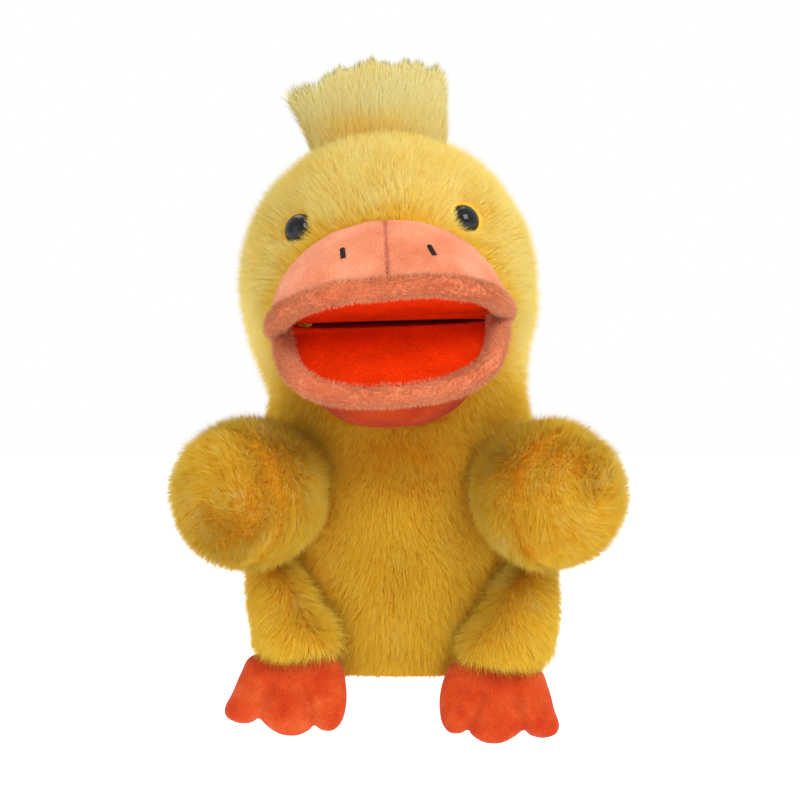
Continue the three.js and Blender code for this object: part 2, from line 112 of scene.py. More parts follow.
# How far in under the beak and the chin pile may grow, as shares of their size: all of it as short stubs
# inside "stubs" under the chin, and by "corner" more beside the mouth, some "height" millimetres around it.
UNDER_BILL = {"chin": 0.72, "stubs": 0.92, "stub_length": 0.45, "beak": 0.965, "corner": 0.1, "height": 6}
EYE = {"radius": 6.9, "height": 5.8, "lean": -3.4}
NOSTRIL = {"length": 6.4, "width": 1.7}
NOSTRIL_PLACE = {"left": [17.7, 48.3, 2], "right": [18.6, 46.6, 16]}  # sideways, degrees up, slant

ARM_END = [62.5, -55, 80]
ARM_PROFILE = [  # distance along the arm from its end ball's middle, and the radius there
    [-42, 12], [-34, 20], [-26, 25.5], [-14, 30.5], [-4, 32.8], [6, 32.6], [15, 29.8], [22, 24.8],
    [27.3, 17.5], [30.2, 9], [31, 0.01],
]
ARM_FACE = [-0.62, -0.76, -0.12]  # the way that the left arm's end face looks
ARM_PILE = 5.2  # the pile's height on the arms, as PILE is on body and head
LEG_PROFILE = [  # left leg: height, then middle and half size across and in depth
    [9.5, -42, 0.01, -40, 0.01], [10.5, -42, 9, -40, 9], [13, -42.5, 16, -40, 16],
    [18, -43.5, 19, -39.5, 19.5], [25, -45, 19, -39, 20], [35, -49, 16.6, -36, 18.5],
    [46, -52.5, 13, -32, 16], [54, -55, 9.5, -29, 13], [62, -57, 5, -27, 8], [66, -58, 0.01, -26, 0.01],
]
LEG_WIDTH = {"left": 1, "right": 1.1}  # the right leg is wider
LEG_PILE = 4.2  # the same on the legs
LEG_BACK = -28  # how far forward the legs meet the sleeve, where their pile darkens with painted shade and then ends
FOOT_OUTLINE = [  # outwards and up from the ankle, round the foot
    [0, 13], [15.5, 11.5], [20.5, 4], [24, -4.5], [27, -10.4], [26.4, -14.9], [22, -17.3], [17, -17.2],
    [12.8, -15.5], [9, -19], [3.5, -22.4], [-3, -22.7], [-8, -20.6], [-10.6, -18.4], [-14, -20.4],
    [-18.6, -20.5], [-22.4, -16], [-24, -7.7], [-23.6, 1], [-21, 8.5], [-15, 12],
]
TOE_GROOVES = [[[12.8, -17], [7.5, -4]], [[-10.6, -20], [-6.5, -5]]]
FOOT = {"centre": [0, -4], "thickness": 8.2, "tilt": 18, "shift": {"left": 0, "right": -4}}
FOOT_TURN = {"left": 0, "right": 8}  # degrees that the toes point inwards
CREST = {"base": [-28.5, 27], "top": [-38, 28.5], "left": 254, "peak": 268.5, "roots": 226, "depth": 8}

# The studio, in metres.
FLOOR = {"height": -0.036, "half_size": 6, "glow": 0.62}
SKY = 0.8  # strength of the world's light
LIGHTS = {  # place, size and power
    "key": [(0.55, -0.9, 0.85), 0.6, 7.6],
    "fill": [(-0.8, -0.85, 0.35), 0.8, 1.2],
    "top": [(-0.1, 0.35, 1.1), 0.7, 3.4],
    "back": [(0.2, 1.3, 0.6), 0.9, 8],
}
CAMERA = {"place": (0.0005, -1.1, 0.1193), "lens": 113}


# ---------------------------------------------------------------- numbers and noise

def vec(*values):
    return np.array(values, float)


def unit(vectors):
    length = np.linalg.norm(vectors, axis=-1, keepdims=True)
    return vectors / np.maximum(length, 1e-12)


def through(points, count):
    """count points on a smooth curve through the given ones."""
    p = np.array(points, float)
    p = np.vstack([2 * p[0] - p[1], p, 2 * p[-1] - p[-2]])
    t = np.linspace(0, len(p) - 3, count)
    i = np.minimum(t.astype(int), len(p) - 4)
    f = (t - i)[:, None]
    a, b, c, d = p[i], p[i + 1], p[i + 2], p[i + 3]
    return 0.5 * (2 * b + (c - a) * f + (2 * a - 5 * b + 4 * c - d) * f**2 + (3 * b - a - 3 * c + d) * f**3)


def ease(values, low, high):
    """0 below low and 1 above high, with a smooth step between them."""
    t = np.clip((values - low) / (high - low), 0, 1)
    return t * t * (3 - 2 * t)


def bell(squared, spread):
    """1 where a squared distance is 0, fading out over a spread."""
    return np.exp(-squared / (2 * spread**2))


def between(ends, share):
    """A share of the way from one end to the other."""
    return ends[0] + share * (ends[1] - ends[0])


def circle(count):
    """Angles of the corners of a ring."""
    return np.linspace(0, 2 * math.pi, count, endpoint=False)


def spaced(*lines, count):
    """Coordinates of a curve, at even distances along it."""
    steps = np.sqrt(sum(np.diff(line) ** 2 for line in lines))
    travel = np.concatenate([[0], np.cumsum(steps)])
    even = np.linspace(0, travel[-1], count)
    return [np.interp(even, travel, line) for line in lines]


def hashed(cells, seed):
    """A repeatable random number from -1 to 1 for each whole-numbered cell."""
    n = cells @ np.array([73856093, 19349663, 83492791]) + seed * 69069 + 12345
    n = (n ^ (n >> 13)) * 1274126177
    n = (n ^ (n >> 16)) * 668265263
    return ((n >> 8) % 65536) / 32767.5 - 1


def noise(points, size, seed):
    """Smooth noise from -1 to 1 with bumps about size metres across."""
    cell = points / size
    base = np.floor(cell).astype(np.int64)
    f = cell - base
    f = f * f * (3 - 2 * f)
    total = np.zeros(len(points))
    for corner in np.ndindex(2, 2, 2):
        weight = np.prod(np.where(corner, f, 1 - f), axis=1)
        total += weight * hashed(base + np.array(corner), seed)
    return total


def tuft_centres(points, size, seed):
    """The nearest scattered centre to each point, about one for each size metres."""
    base = np.floor(points / size).astype(np.int64)
    best = np.full(len(points), np.inf)
    centre = np.zeros_like(points)
    for shift in np.ndindex(3, 3, 3):
        cell = base + np.array(shift) - 1
        jitter = np.stack([hashed(cell, seed + axis) for axis in range(3)], axis=1)
        spot = (cell + 0.5 + 0.45 * jitter) * size
        gap = ((spot - points) ** 2).sum(axis=1)
        nearer = gap < best
        best[nearer] = gap[nearer]
        centre[nearer] = spot[nearer]
    return centre


def rolled(points, share=1.0):
    """Points turned by the head's held tilt about the neck."""
    pivot = np.array(HINGES["head_nod"]["pos_m"])
    tilt = math.atan2(HINGES["head_nod"]["axis"][2], -HINGES["head_nod"]["axis"][0]) * share
    x, y, z = np.moveaxis(points - pivot, -1, 0)
    lean = HEAD_LEAN * MM * share
    turned = [x * np.cos(tilt) + z * np.sin(tilt) + lean, y, z * np.cos(tilt) - x * np.sin(tilt)]
    return np.stack(turned, axis=-1) + pivot


CREASE = vec(0, -52, 152) * MM


def bill_point(x, angle, radius):
    """Points around the mouth's crease: sideways, degrees above the front, and distance, in millimetres."""
    a = np.radians(angle)
    x, y, z = np.broadcast_arrays(x, -radius * np.cos(a), radius * np.sin(a))
    return rolled(CREASE + np.stack([x, y, z], axis=-1) * MM)


class Ball:
    """An ellipsoid that strands stay out of."""

    def __init__(self, centre, radii):
        self.centre = np.array(centre, float)
        self.radii = np.array(radii, float)

    def local(self, points):
        return (points - self.centre) / self.radii

    def level(self, points):
        return np.linalg.norm(self.local(points), axis=-1)

    def pushed(self, points):
        """Points inside moved straight out to the surface."""
        local = self.local(points)
        level = np.linalg.norm(local, axis=-1, keepdims=True)
        out = local / np.maximum(level, 1e-6) * self.radii + self.centre
        return np.where(level < 1, out, points)


# ---------------------------------------------------------------- meshes

def mesh_object(name, points, faces, material, uv=None, normals=None):
    """A smooth object from arrays of points and of triangles or quads."""
    mesh = bpy.data.meshes.new(name)
    mesh.vertices.add(len(points))
    mesh.vertices.foreach_set("co", np.asarray(points, np.float32).ravel())
    mesh.loops.add(faces.size)
    mesh.loops.foreach_set("vertex_index", np.asarray(faces, np.int32).ravel())
    mesh.polygons.add(len(faces))
    mesh.polygons.foreach_set("loop_start", np.arange(0, faces.size, faces.shape[1], dtype=np.int32))
    mesh.update(calc_edges=True)
    mesh.shade_smooth()
    if uv is not None:
        layer = mesh.uv_layers.new(name="OFBake")
        layer.uv.foreach_set("vector", np.asarray(uv, np.float32)[faces.ravel()].ravel())
    if normals is not None:
        mesh.normals_split_custom_set_from_vertices(np.asarray(normals, np.float32))
    mesh.materials.append(material)
    obj = bpy.data.objects.new(name, mesh)
    bpy.context.scene.collection.objects.link(obj)
    return obj


def vertices_of(obj):
    return np.array([vertex.co for vertex in obj.data.vertices])


def set_vertices(obj, points):
    obj.data.vertices.foreach_set("co", points.astype(np.float32).ravel())
    obj.data.update()


def close(bm):
    """Fills every open rim, and makes all faces look outwards."""
    rims = [edge for edge in bm.edges if edge.is_boundary]
    bmesh.ops.holes_fill(bm, edges=rims, sides=0)
    bmesh.ops.recalc_face_normals(bm, faces=bm.faces)


def edit(obj, change):
    """Runs a change on the object's mesh in bmesh form."""
    bm = bmesh.new()
    bm.from_mesh(obj.data)
    change(bm)
    bm.to_mesh(obj.data)
    bm.free()
    return obj


def modified(obj, kind, **settings):
    """The object with one modifier run and its result kept."""
    modifier = obj.modifiers.new(kind.lower(), kind)
    for key, value in settings.items():
        setattr(modifier, key, value)
    graph = bpy.context.evaluated_depsgraph_get()
    obj.data = bpy.data.meshes.new_from_object(obj.evaluated_get(graph), depsgraph=graph)
    obj.modifiers.clear()
    return obj


class Surface:
    """A grid of points, its faces and its smooth normals: a shape for pieces and for pile to grow on."""

    def __init__(self, points, wrap=True):
        self.rows, self.columns = points.shape[:2]
        self.points = points.reshape(-1, 3)
        self.wrap = wrap
        index = np.arange(self.rows * self.columns).reshape(self.rows, self.columns)
        across = np.roll(index, -1, axis=1) if wrap else index[:, 1:]
        along = index if wrap else index[:, :-1]
        corners = [along[:-1], across[:-1], across[1:], along[1:]]
        self.faces = np.stack([corner.ravel() for corner in corners], axis=1)
        if self.volume() < 0:
            self.faces = self.faces[:, ::-1]
        self.normals = self.smooth_normals()

    def volume(self):
        """Positive where the faces look away from the middle."""
        a, b, c, d = (self.points[self.faces[:, corner]] for corner in range(4))
        return (np.cross(c - a, d - b) * (a - self.points.mean(axis=0))).sum()

    def smooth_normals(self):
        a, b, c, d = (self.points[self.faces[:, corner]] for corner in range(4))
        face = np.cross(c - a, d - b)
        total = np.zeros_like(self.points)
        for corner in range(4):
            np.add.at(total, self.faces[:, corner], face)
        total = total.reshape(self.rows, self.columns, 3)
        for row in (0, -1):
            ends = self.points.reshape(total.shape)[row]
            if np.ptp(ends, axis=0).max() < 0.2 * MM:
                total[row] = total[row].sum(axis=0)
        return unit(total.reshape(-1, 3))

    def moved(self, distance):
        """The same grid moved along its normals."""
        shifted = self.points + self.normals * np.asarray(distance)[..., None]
        return Surface(shifted.reshape(self.rows, self.columns, 3), self.wrap)

    def scatter(self, density, rng):
        """Random points with their normals, density to each square metre."""
        triangles = np.vstack([self.faces[:, [0, 1, 2]], self.faces[:, [0, 2, 3]]])
        a, b, c = (self.points[triangles[:, corner]] for corner in range(3))
        area = np.linalg.norm(np.cross(b - a, c - a), axis=1) / 2
        count = int(area.sum() * density)
        picked = rng.choice(len(triangles), count, p=area / area.sum())
        u, v = rng.random((2, count))
        fold = u + v > 1
        u[fold], v[fold] = 1 - u[fold], 1 - v[fold]
        weights = np.stack([1 - u - v, u, v], axis=1)[..., None]
        points = (self.points[triangles[picked]] * weights).sum(axis=1)
        normals = (self.normals[triangles[picked]] * weights).sum(axis=1)
        return points, unit(normals)

    def piece(self, name, material, thickness=0, drop=None):
        """An object of the grid, closed, or made a shell of some thickness after dropping some faces."""
        faces = self.faces
        if drop is not None:
            middles = self.points[faces].mean(axis=1)
            faces = faces[~drop(middles)]

        def change(bm):
            bmesh.ops.delete(bm, geom=[v for v in bm.verts if not v.link_faces], context="VERTS")
            bmesh.ops.remove_doubles(bm, verts=bm.verts, dist=0.02 * MM)
            bmesh.ops.dissolve_degenerate(bm, edges=bm.edges, dist=0.01 * MM)
            if not thickness:
                close(bm)

        obj = edit(mesh_object(name, self.points, faces, material), change)
        if thickness:
            modified(obj, "SOLIDIFY", thickness=thickness * MM, use_even_offset=False, offset=-1)
        obj.data.shade_smooth()
        return obj


def tube_grid(path, radii, sides=12, squash=1.0):
    """Rings of points around a path, with its first and last ring drawn in to a point."""
    path = np.asarray(path, float)
    radii = np.broadcast_to(radii, len(path))
    along = unit(np.gradient(path, axis=0))
    up = np.tile(vec(0, 0.31, 1), (len(path), 1))
    side = unit(np.cross(up, along))
    over = np.cross(along, side)
    turn = circle(sides)
    rings = path[:, None] + radii[:, None, None] * (
        np.cos(turn)[None, :, None] * side[:, None] + squash * np.sin(turn)[None, :, None] * over[:, None]
    )

    def cap(end, sign, out, share):
        return path[end] + sign * along[end] * radii[end] * out + (rings[end] - path[end]) * share

    first, last = cap(0, -1, 0.6, 0.02), cap(-1, 1, 0.6, 0.02)
    near, far = cap(0, -1, 0.4, 0.7), cap(-1, 1, 0.4, 0.7)
    return np.concatenate([[first, near], rings, [far, last]])


def lathed(origin, axis, profile, count):
    """Rings of points around an axis, from distances along it and radii, in millimetres."""
    across = unit(np.cross(axis, vec(0, 0, 1)))
    over = np.cross(across, axis)
    turn = circle(count)
    ring = np.cos(turn)[:, None] * across + np.sin(turn)[:, None] * over
    along, radius = profile[:, 0, None, None], np.maximum(profile[:, 1, None, None], 0.01)
    return origin + (along * axis + radius * ring) * MM


def tubes(name, paths, radius, material, sides=6):
    """One object of several closed threads."""
    points, faces, base = [], [], 0
    for path in paths:
        surface = Surface(tube_grid(path, radius * MM, sides))
        points.append(surface.points)
        faces.append(surface.faces + base)
        base += len(surface.points)
    return edit(mesh_object(name, np.vstack(points), np.vstack(faces), material), close)


# ---------------------------------------------------------------- pile

def spikes(name, roots, tips, across, width, light, shading, material):
    """Closed three-sided strands as one object.

    How light each strand is and the height along it go into the bake map, for the material.
    """
    start = unit(tips - roots)
    side = unit(np.cross(start, across))
    over = np.cross(start, side)
    turns = np.radians([90, 210, 330])
    corners = np.cos(turns)[None, :, None] * side[:, None] + np.sin(turns)[None, :, None] * over[:, None]
    points = np.concatenate([roots[:, None] + corners * (width / 2), tips[:, None]], axis=1)
    size = points.shape[1]
    pattern = np.array([[0, 2, 1], [0, 1, 3], [1, 2, 3], [2, 0, 3]])
    faces = pattern[None] + (np.arange(len(roots)) * size)[:, None, None]
    bake = np.stack([np.repeat(light, size), np.tile([0, 0, 0, 1], len(roots))], axis=1)
    uv = 0.01 + 0.98 * bake
    normals = np.repeat(shading, size, axis=0)
    return mesh_object(name, points.reshape(-1, 3), faces.reshape(-1, 3), material, uv, normals)


def grow(name, surface, material, seed, flow, length=7.4, width=0.27, density=4.4, lean=1.0, wild=0.32,
         tuft=2.6, pull=0.2, fleck=0.08, keep=None, short=None, tone=None, avoid=None, pieces=1):
    """A pile of strands on a surface, as one or more objects.

    flow gives the way the pile is brushed. keep, short and tone take points and give which roots stay,
    the share of the length and how light the strand is. avoid moves tips out of what they can't enter.
    """
    rng = np.random.default_rng(seed)
    roots, normals = surface.scatter(density * 1e6, rng)
    if keep is not None:
        chosen = keep(roots)
        roots, normals = roots[chosen], normals[chosen]
    count = len(roots)
    brush = flow(roots)
    brush = brush - normals * (brush * normals).sum(axis=1, keepdims=True)
    sway = np.stack([noise(roots, 14 * MM, seed + axis) for axis in range(3)], axis=1)
    sway += rng.normal(0, 0.5, (count, 3))
    start = unit(normals + lean * brush + wild * sway)
    reach = length * MM * (1 + 0.2 * rng.normal(0, 1, count).clip(-2, 2))
    reach = reach * (1 if short is None else short(roots))
    gather = tuft_centres(roots, tuft * MM, seed) - roots
    gather = gather - normals * (gather * normals).sum(axis=1, keepdims=True)
    tips = roots + start * reach[:, None] + pull * gather * (reach / (length * MM))[:, None]
    if avoid is not None:
        tips = avoid(roots, tips)
    light = 0.1 * noise(roots, 9 * MM, seed + 7) + fleck * noise(roots, 2.4 * MM, seed + 8)
    light += rng.normal(0, 0.05, count)
    light = (light + (0.6 if tone is None else tone(roots))).clip(0.01, 0.99)
    shading = unit(normals + 0.35 * unit(tips - roots))
    across = rng.normal(0, 1, (count, 3))
    sunk = roots - normals * 0.7 * MM
    made = []
    order = np.argsort(np.arctan2(roots[:, 0], -roots[:, 1]), kind="stable")
    for number, part in enumerate(np.array_split(order, pieces)):
        label = name if pieces == 1 else f"{name}_{number + 1}"
        strands = sunk[part], tips[part], across[part]
        made.append(spikes(label, *strands, width * MM, light[part], shading[part], material))
    return made


# ---------------------------------------------------------------- materials

def colour(red, green, blue):
    """A display colour, 0 to 255, as linear light."""
    parts = [value / 255 for value in (red, green, blue)]
    return (*[p / 12.92 if p <= 0.04045 else ((p + 0.055) / 1.055) ** 2.4 for p in parts], 1)


class Shader:
    """A material's nodes around one Principled shader."""

    def __init__(self, name, **values):
        self.material = bpy.data.materials.new(name)
        self.material.use_nodes = True
        self.tree = self.material.node_tree
        self.base = self.tree.nodes["Principled BSDF"]
        for key, value in values.items():
            self.base.inputs[key.replace("_", " ")].default_value = value
        self.place = self.add("TexCoord").outputs["Object"]

    def add(self, kind, inputs=None, **settings):
        node = self.tree.nodes.new("ShaderNode" + kind)
        for key, value in settings.items():
            setattr(node, key, value)
        for key, value in (inputs or {}).items():
            if isinstance(value, bpy.types.NodeSocket):
                self.tree.links.new(value, node.inputs[key])
            else:
                node.inputs[key].default_value = value
        return node

    def noise(self, size, detail=2.0, stretch=None):
        """Noise with bumps about size millimetres across."""
        place = self.place
        if stretch is not None:
            place = self.add("Mapping", {"Vector": place, "Scale": stretch}).outputs[0]
        node = self.add("TexNoise", {"Vector": place, "Scale": 1 / (size * MM), "Detail": detail})
        return node.outputs["Fac"]

    def ramp(self, value, stops):
        stops = list(stops)
        node = self.add("ValToRGB", {"Fac": value})
        elements = node.color_ramp.elements
        while len(elements) < len(stops):
            elements.new(0.5)
        for element, (position, shade) in zip(elements, stops):
            element.position = position
            element.color = shade
        return node.outputs["Color"]

    def mix(self, share, first, second, blend="MIX"):
        node = self.add("MixRGB", {"Fac": share, "Color1": first, "Color2": second}, blend_type=blend)
        return node.outputs["Color"]

    def math(self, operation, first, second):
        return self.add("Math", {0: first, 1: second}, operation=operation).outputs[0]

    def paint(self, value):
        self.tree.links.new(value, self.base.inputs["Base Color"])

    def bump(self, height, distance, strength=1.0):
        """Relief of some millimetres."""
        values = {"Height": height, "Distance": distance * MM, "Strength": strength}
        self.tree.links.new(self.add("Bump", values).outputs[0], self.base.inputs["Normal"])


def pile_material(name, *families):
    """Strands from root to tip. The bake map holds how light a strand is, and the height along it.

    Each family is the colours of root, middle and tip, and a strand's lightness picks between families.
    """
    shader = Shader(name, Roughness=0.8, Specular_IOR_Level=0.1)
    where = shader.add("UVMap", uv_map="OFBake").outputs["UV"]
    split = shader.add("SeparateXYZ", {"Vector": where})
    tint = None
    for number, (root, middle, tip) in enumerate(families):
        shade = shader.ramp(split.outputs["Y"], [(0.0, root), (0.25, root), (0.6, middle), (1.0, tip)])
        if tint is None:
            tint = shade
            continue
        low, high = ((number + step) / (len(families) - 1) for step in (-1, 0))
        share = shader.ramp(split.outputs["X"], [(low + 0.05, (0, 0, 0, 1)), (high - 0.05, (1, 1, 1, 1))])
        tint = shader.mix(share, tint, shade)
    shader.paint(tint)
    return shader.material


def backing_material(name, dark, light):
    """The knitted backing cloth under a pile."""
    shader = Shader(name, Roughness=0.95, Specular_IOR_Level=0.1)
    shader.paint(shader.ramp(shader.noise(5, 4), [(0.3, dark), (0.7, light)]))
    shader.bump(shader.noise(0.9), 0.5)
    return shader.material


def velour_material(name, dark, middle, light, nap, sheen=0.15):
    """Short-pile cloth: brushed patches, a fine grain and a soft sheen."""
    shader = Shader(name, Roughness=0.9, Specular_IOR_Level=0.15, Sheen_Weight=sheen, Sheen_Roughness=0.35)
    patches = shader.ramp(shader.noise(nap, 3), [(0.28, dark), (0.52, middle), (0.78, light)])
    fine = shader.noise(0.6, 3)
    speck = shader.ramp(fine, [(0.3, (0.68, 0.68, 0.68, 1)), (0.66, (1.14, 1.14, 1.14, 1))])
    shader.paint(shader.mix(0.8, patches, speck, "MULTIPLY"))
    shader.bump(fine, 0.5)
    return shader.material


def felt_material():
    """Needle felt: matted fibres that run every way."""
    shader = Shader("mouth_felt", Roughness=0.95, Specular_IOR_Level=0.05)
    ways = [shader.noise(0.5, 4, stretch) for stretch in [(0.25, 1, 1), (1, 0.25, 0.5)]]
    fibres = shader.math("MAXIMUM", *ways)
    reds = [colour(206, 40, 0), colour(228, 52, 2), colour(238, 72, 14)]
    tint = shader.ramp(fibres, zip([0.4, 0.6, 0.8], reds))
    cloudy = shader.ramp(shader.noise(12), [(0.3, (0.88, 0.86, 0.84, 1)), (0.7, (1.05, 1.05, 1.05, 1))])
    shader.paint(shader.mix(1.0, tint, cloudy, "MULTIPLY"))
    shader.bump(fibres, 0.3)
    return shader.material


def weave_material(name, dark, light):
    """Plain weave: warp and weft threads."""
    shader = Shader(name, Roughness=0.8, Specular_IOR_Level=0.25)
    pitch = 0.7 * MM
    values = {"Vector": shader.place, "Scale": 1 / pitch / 20, "Distortion": 0.4}
    waves = [
        shader.add("TexWave", values, bands_direction=direction).outputs["Fac"]
        for direction in ("Z", "DIAGONAL")
    ]
    threads = shader.math("MAXIMUM", *waves)
    shader.paint(shader.ramp(threads, [(0.2, dark), (0.8, light)]))
    shader.bump(threads, 0.2)
    return shader.material


def fibre_material():
    """Loose polyester fibre fill."""
    shader = Shader("fibre_fill", Roughness=0.95, Specular_IOR_Level=0.2, Sheen_Weight=0.5)
    strands = shader.noise(1.2, 6, (1, 0.3, 0.6))
    shader.paint(shader.ramp(strands, [(0.3, colour(214, 212, 205)), (0.7, colour(250, 249, 245))]))
    shader.bump(strands, 1.0)
    return shader.material


def plastic_material(name, dark, light, roughness, coat=0.0, relief=0.02, grain=1.5, gloss=0.5):
    """Moulded sheet or knob, with a faint flow in it and a clear coat where it is polished."""
    finish = {"Specular_IOR_Level": gloss, "Coat_Weight": coat, "Coat_Roughness": 0.04}
    shader = Shader(name, Roughness=roughness, **finish)
    flow = shader.noise(grain, 3)
    shader.paint(shader.ramp(flow, [(0.3, dark), (0.7, light)]))
    shader.bump(flow, relief)
    return shader.material


def thread_material(name, dark, light):
    """Twisted sewing thread."""
    shader = Shader(name, Roughness=0.7, Specular_IOR_Level=0.2)
    twist = shader.noise(0.25, 2, (1, 1, 0.3))
    shader.paint(shader.ramp(twist, [(0.3, dark), (0.7, light)]))
    shader.bump(twist, 0.06)
    return shader.material


MATERIALS = {
    "plush_pile": pile_material(
        "plush_pile",
        (colour(228, 122, 10), colour(242, 154, 20), colour(250, 182, 44)),
        (colour(242, 164, 28), colour(249, 198, 52), colour(253, 214, 82)),
        (colour(250, 206, 92), colour(251, 225, 126), colour(253, 237, 158)),
    ),
    "crest_pile": pile_material(
        "crest_pile",
        (colour(242, 172, 52), colour(244, 196, 82), colour(242, 212, 116)),
        (colour(242, 208, 104), colour(238, 226, 150), colour(242, 236, 174)),
    ),
    "crest_cloth": backing_material("crest_cloth", colour(226, 196, 96), colour(232, 214, 128)),
    "lip_pile": pile_material(
        "lip_pile",
        (colour(206, 98, 60), colour(230, 128, 84), colour(242, 154, 110)),
        (colour(228, 118, 76), colour(248, 156, 114), colour(254, 186, 146)),
    ),
    "head_backing": backing_material("head_backing", colour(238, 176, 60), colour(246, 198, 84)),
    "body_backing": backing_material("body_backing", colour(228, 148, 28), colour(240, 176, 46)),
    "beak": velour_material("beak", colour(214, 118, 80), colour(230, 140, 102), colour(242, 160, 124), 19),
    "chin": velour_material("chin", colour(164, 46, 12), colour(180, 54, 16), colour(192, 68, 24), 12, 0.05),
    "lip": velour_material("lip", colour(220, 108, 68), colour(234, 132, 88), colour(244, 154, 110), 12),
    "foot": velour_material("foot", colour(190, 54, 16), colour(206, 72, 26), colour(220, 96, 48), 11),
    "felt": felt_material(),
    "lining": weave_material("lining", colour(208, 160, 74), colour(236, 196, 112)),
    "fill": fibre_material(),
    "board": plastic_material(
        "board", colour(120, 120, 114), colour(142, 142, 136), 0.55, relief=0.05, grain=0.8,
    ),
    "washer": plastic_material("washer", colour(206, 208, 208), colour(228, 230, 230), 0.35),
    "eye": plastic_material(
        "eye", colour(6, 6, 7), colour(14, 13, 13), 0.06, coat=0.25, relief=0.0, grain=3.0, gloss=0.25,
    ),
    "black_thread": thread_material("black_thread", colour(14, 10, 10), colour(44, 36, 34)),
    "beak_thread": thread_material("beak_thread", colour(206, 104, 70), colour(238, 146, 104)),
}


# ---------------------------------------------------------------- body and head plush

def revolved(low, high, rows, columns=120):
    """The surface of the pile's tips between two heights, with the head's tilt."""
    curve = through(OUTLINE, 400)
    chosen = curve[(curve[:, 0] >= low - 1e-9) & (curve[:, 0] <= high)]
    ends = [np.array([np.interp(z, curve[:, 0], curve[:, k]) for k in range(3)]) for z in (low, high)]
    if low > OUTLINE[0][0]:
        chosen = np.vstack([ends[0], chosen])
    if high < OUTLINE[-1][0]:
        chosen = np.vstack([chosen, ends[1]])
    z, wide, deep = spaced(*chosen.T, count=rows)
    turn = circle(columns)
    power = 2 / OUTLINE_SQUARE
    around = np.sin(turn), -np.cos(turn)
    x, y = (np.sign(part) * np.abs(part) ** power for part in around)
    points = np.stack([wide[:, None] * x, deep[:, None] * y, np.repeat(z[:, None], columns, 1)], axis=-1)
    for sign in SIDES.values():
        near = (points[..., 0] - sign * CHEEK["x"]) ** 2 + (points[..., 2] - CHEEK["z"]) ** 2
        swell = CHEEK["push"] * bell(near, CHEEK["radius"])
        points[..., 1] -= np.where(points[..., 1] < 0, swell, 0)
    return rolled(points * MM, ease(points[..., 2], ROLL_FROM, ROLL_TO))


def skin_of(points, seed, pile=PILE):
    """Backing cloth under the tips of a pile, a little uneven."""
    tips = Surface(points)
    uneven = 0.6 * noise(tips.points, 16 * MM, seed)
    return tips.moved((uneven - pile) * MM)


def bill_ball(width, radius):
    """A round form about the mouth's crease, from its half width and radius in millimetres."""
    return Ball(rolled(CREASE), vec(width, radius, radius) * MM)


BILL_BALL = bill_ball(BILL["width"] + 0.6, BILL["radius"] + 0.6)
CHIN_BALL = bill_ball(BILL["chin"], BILL["radius"])


def out_of_bill(roots, tips):
    """Tips moved out of the beak above the crease and of the chin below it; short stubs under the chin."""
    low = tips[:, 2:] < CREASE[2]
    pushed = np.where(low, CHIN_BALL.pushed(tips), BILL_BALL.pushed(tips))
    under = (CHIN_BALL.level(roots) < UNDER_BILL["stubs"]) & (roots[:, 2] < CREASE[2])
    return np.where(under[:, None], between((roots, tips), UNDER_BILL["stub_length"]), pushed)


def beside_bill(points):
    """True where pile may grow, which is a little way under the edges of the beak and the chin."""
    low = points[:, 2] < CREASE[2]
    corner = np.exp(-(((points[:, 2] - CREASE[2]) / (UNDER_BILL["height"] * MM)) ** 2))
    beak_edge = UNDER_BILL["beak"] - UNDER_BILL["corner"] * corner
    return np.where(low, CHIN_BALL.level(points) > UNDER_BILL["chin"], BILL_BALL.level(points) > beak_edge)


def eye_place(side):
    """Where an eye's dome ends, and which way it looks, from its CAD node and its washer."""
    eye = vertices_of(frame["nodes"][f"{side}_eye"])
    washer = vertices_of(frame["nodes"][f"{side}_eye_washer"])
    middle = (eye.min(axis=0) + eye.max(axis=0)) / 2
    outward = unit(eye.mean(axis=0) - washer.mean(axis=0))
    top = (eye @ outward).max()
    return middle + outward * (top - middle @ outward) + vec(EYE["lean"] * MM, 0, 0), outward


EYES = {side: eye_place(side) for side in SIDES}
EYE_BALLS = [
    Ball(top - outward * 5 * MM, vec(1, 1, 1) * (EYE["radius"] + 0.4) * MM) for top, outward in EYES.values()
]


def arm_axis(side):
    sign = SIDES[side]
    end = vec(ARM_END[0] * sign, *ARM_END[1:]) * MM
    shoulder = np.array(HINGES[f"{side}_shoulder"]["pos_m"])
    return end, unit(end - shoulder)


def brushed_down(points):
    """Pile brushed down and a little away from the middle line of the front."""
    out = np.sign(points[:, 0]) * ease(np.abs(points[:, 0]), 0, 30 * MM)
    return unit(np.stack([0.35 * out, np.zeros(len(points)), -np.ones(len(points))], axis=1))


def brushed_back(points):
    """Head pile, brushed back from the face and down the back of the head."""
    centre = rolled(vec(0, -60, 165) * MM)
    away = unit(points - centre)
    behind = ease(points[:, 1], 0, 40 * MM)
    neck = 1 - ease(points[:, 2], NECK_SPLIT * MM, (NECK_SPLIT + 26) * MM)
    down = np.maximum(behind, neck)[:, None]
    return unit((1 - down) * (away + vec(0, 0.5, 0)) + down * vec(0, 0.1, -1.2))


def near_ball(points, ball, reach):
    """1 on a ball's surface, down to 0 some millimetres outside it."""
    outside = (ball.level(points) - 1) * ball.radii.min()
    return 1 - ease(outside, 0, reach * MM)


def plush_tone(points):
    """How light the plush is: golden on the body, paler on the head."""
    return 0.47 + 0.36 * ease(points[:, 2], 104 * MM, 150 * MM)


def seam_line(distance):
    """1 along a seam in the plush, where distance is 0."""
    return bell(distance**2, 1.1 * MM)


def under_chin(points, height, narrow):
    """How much the chin shades the front of the plush, most at a height in millimetres."""
    squared = (points[:, 2] - height * MM) ** 2 + points[:, 0] ** 2 * narrow
    # Painted shade: this is taken off the plush's lightness, so its colour is darker where the chin's shadow
    # falls.
    return 0.28 * bell(squared, 12 * MM) * (points[:, 1] < 0)


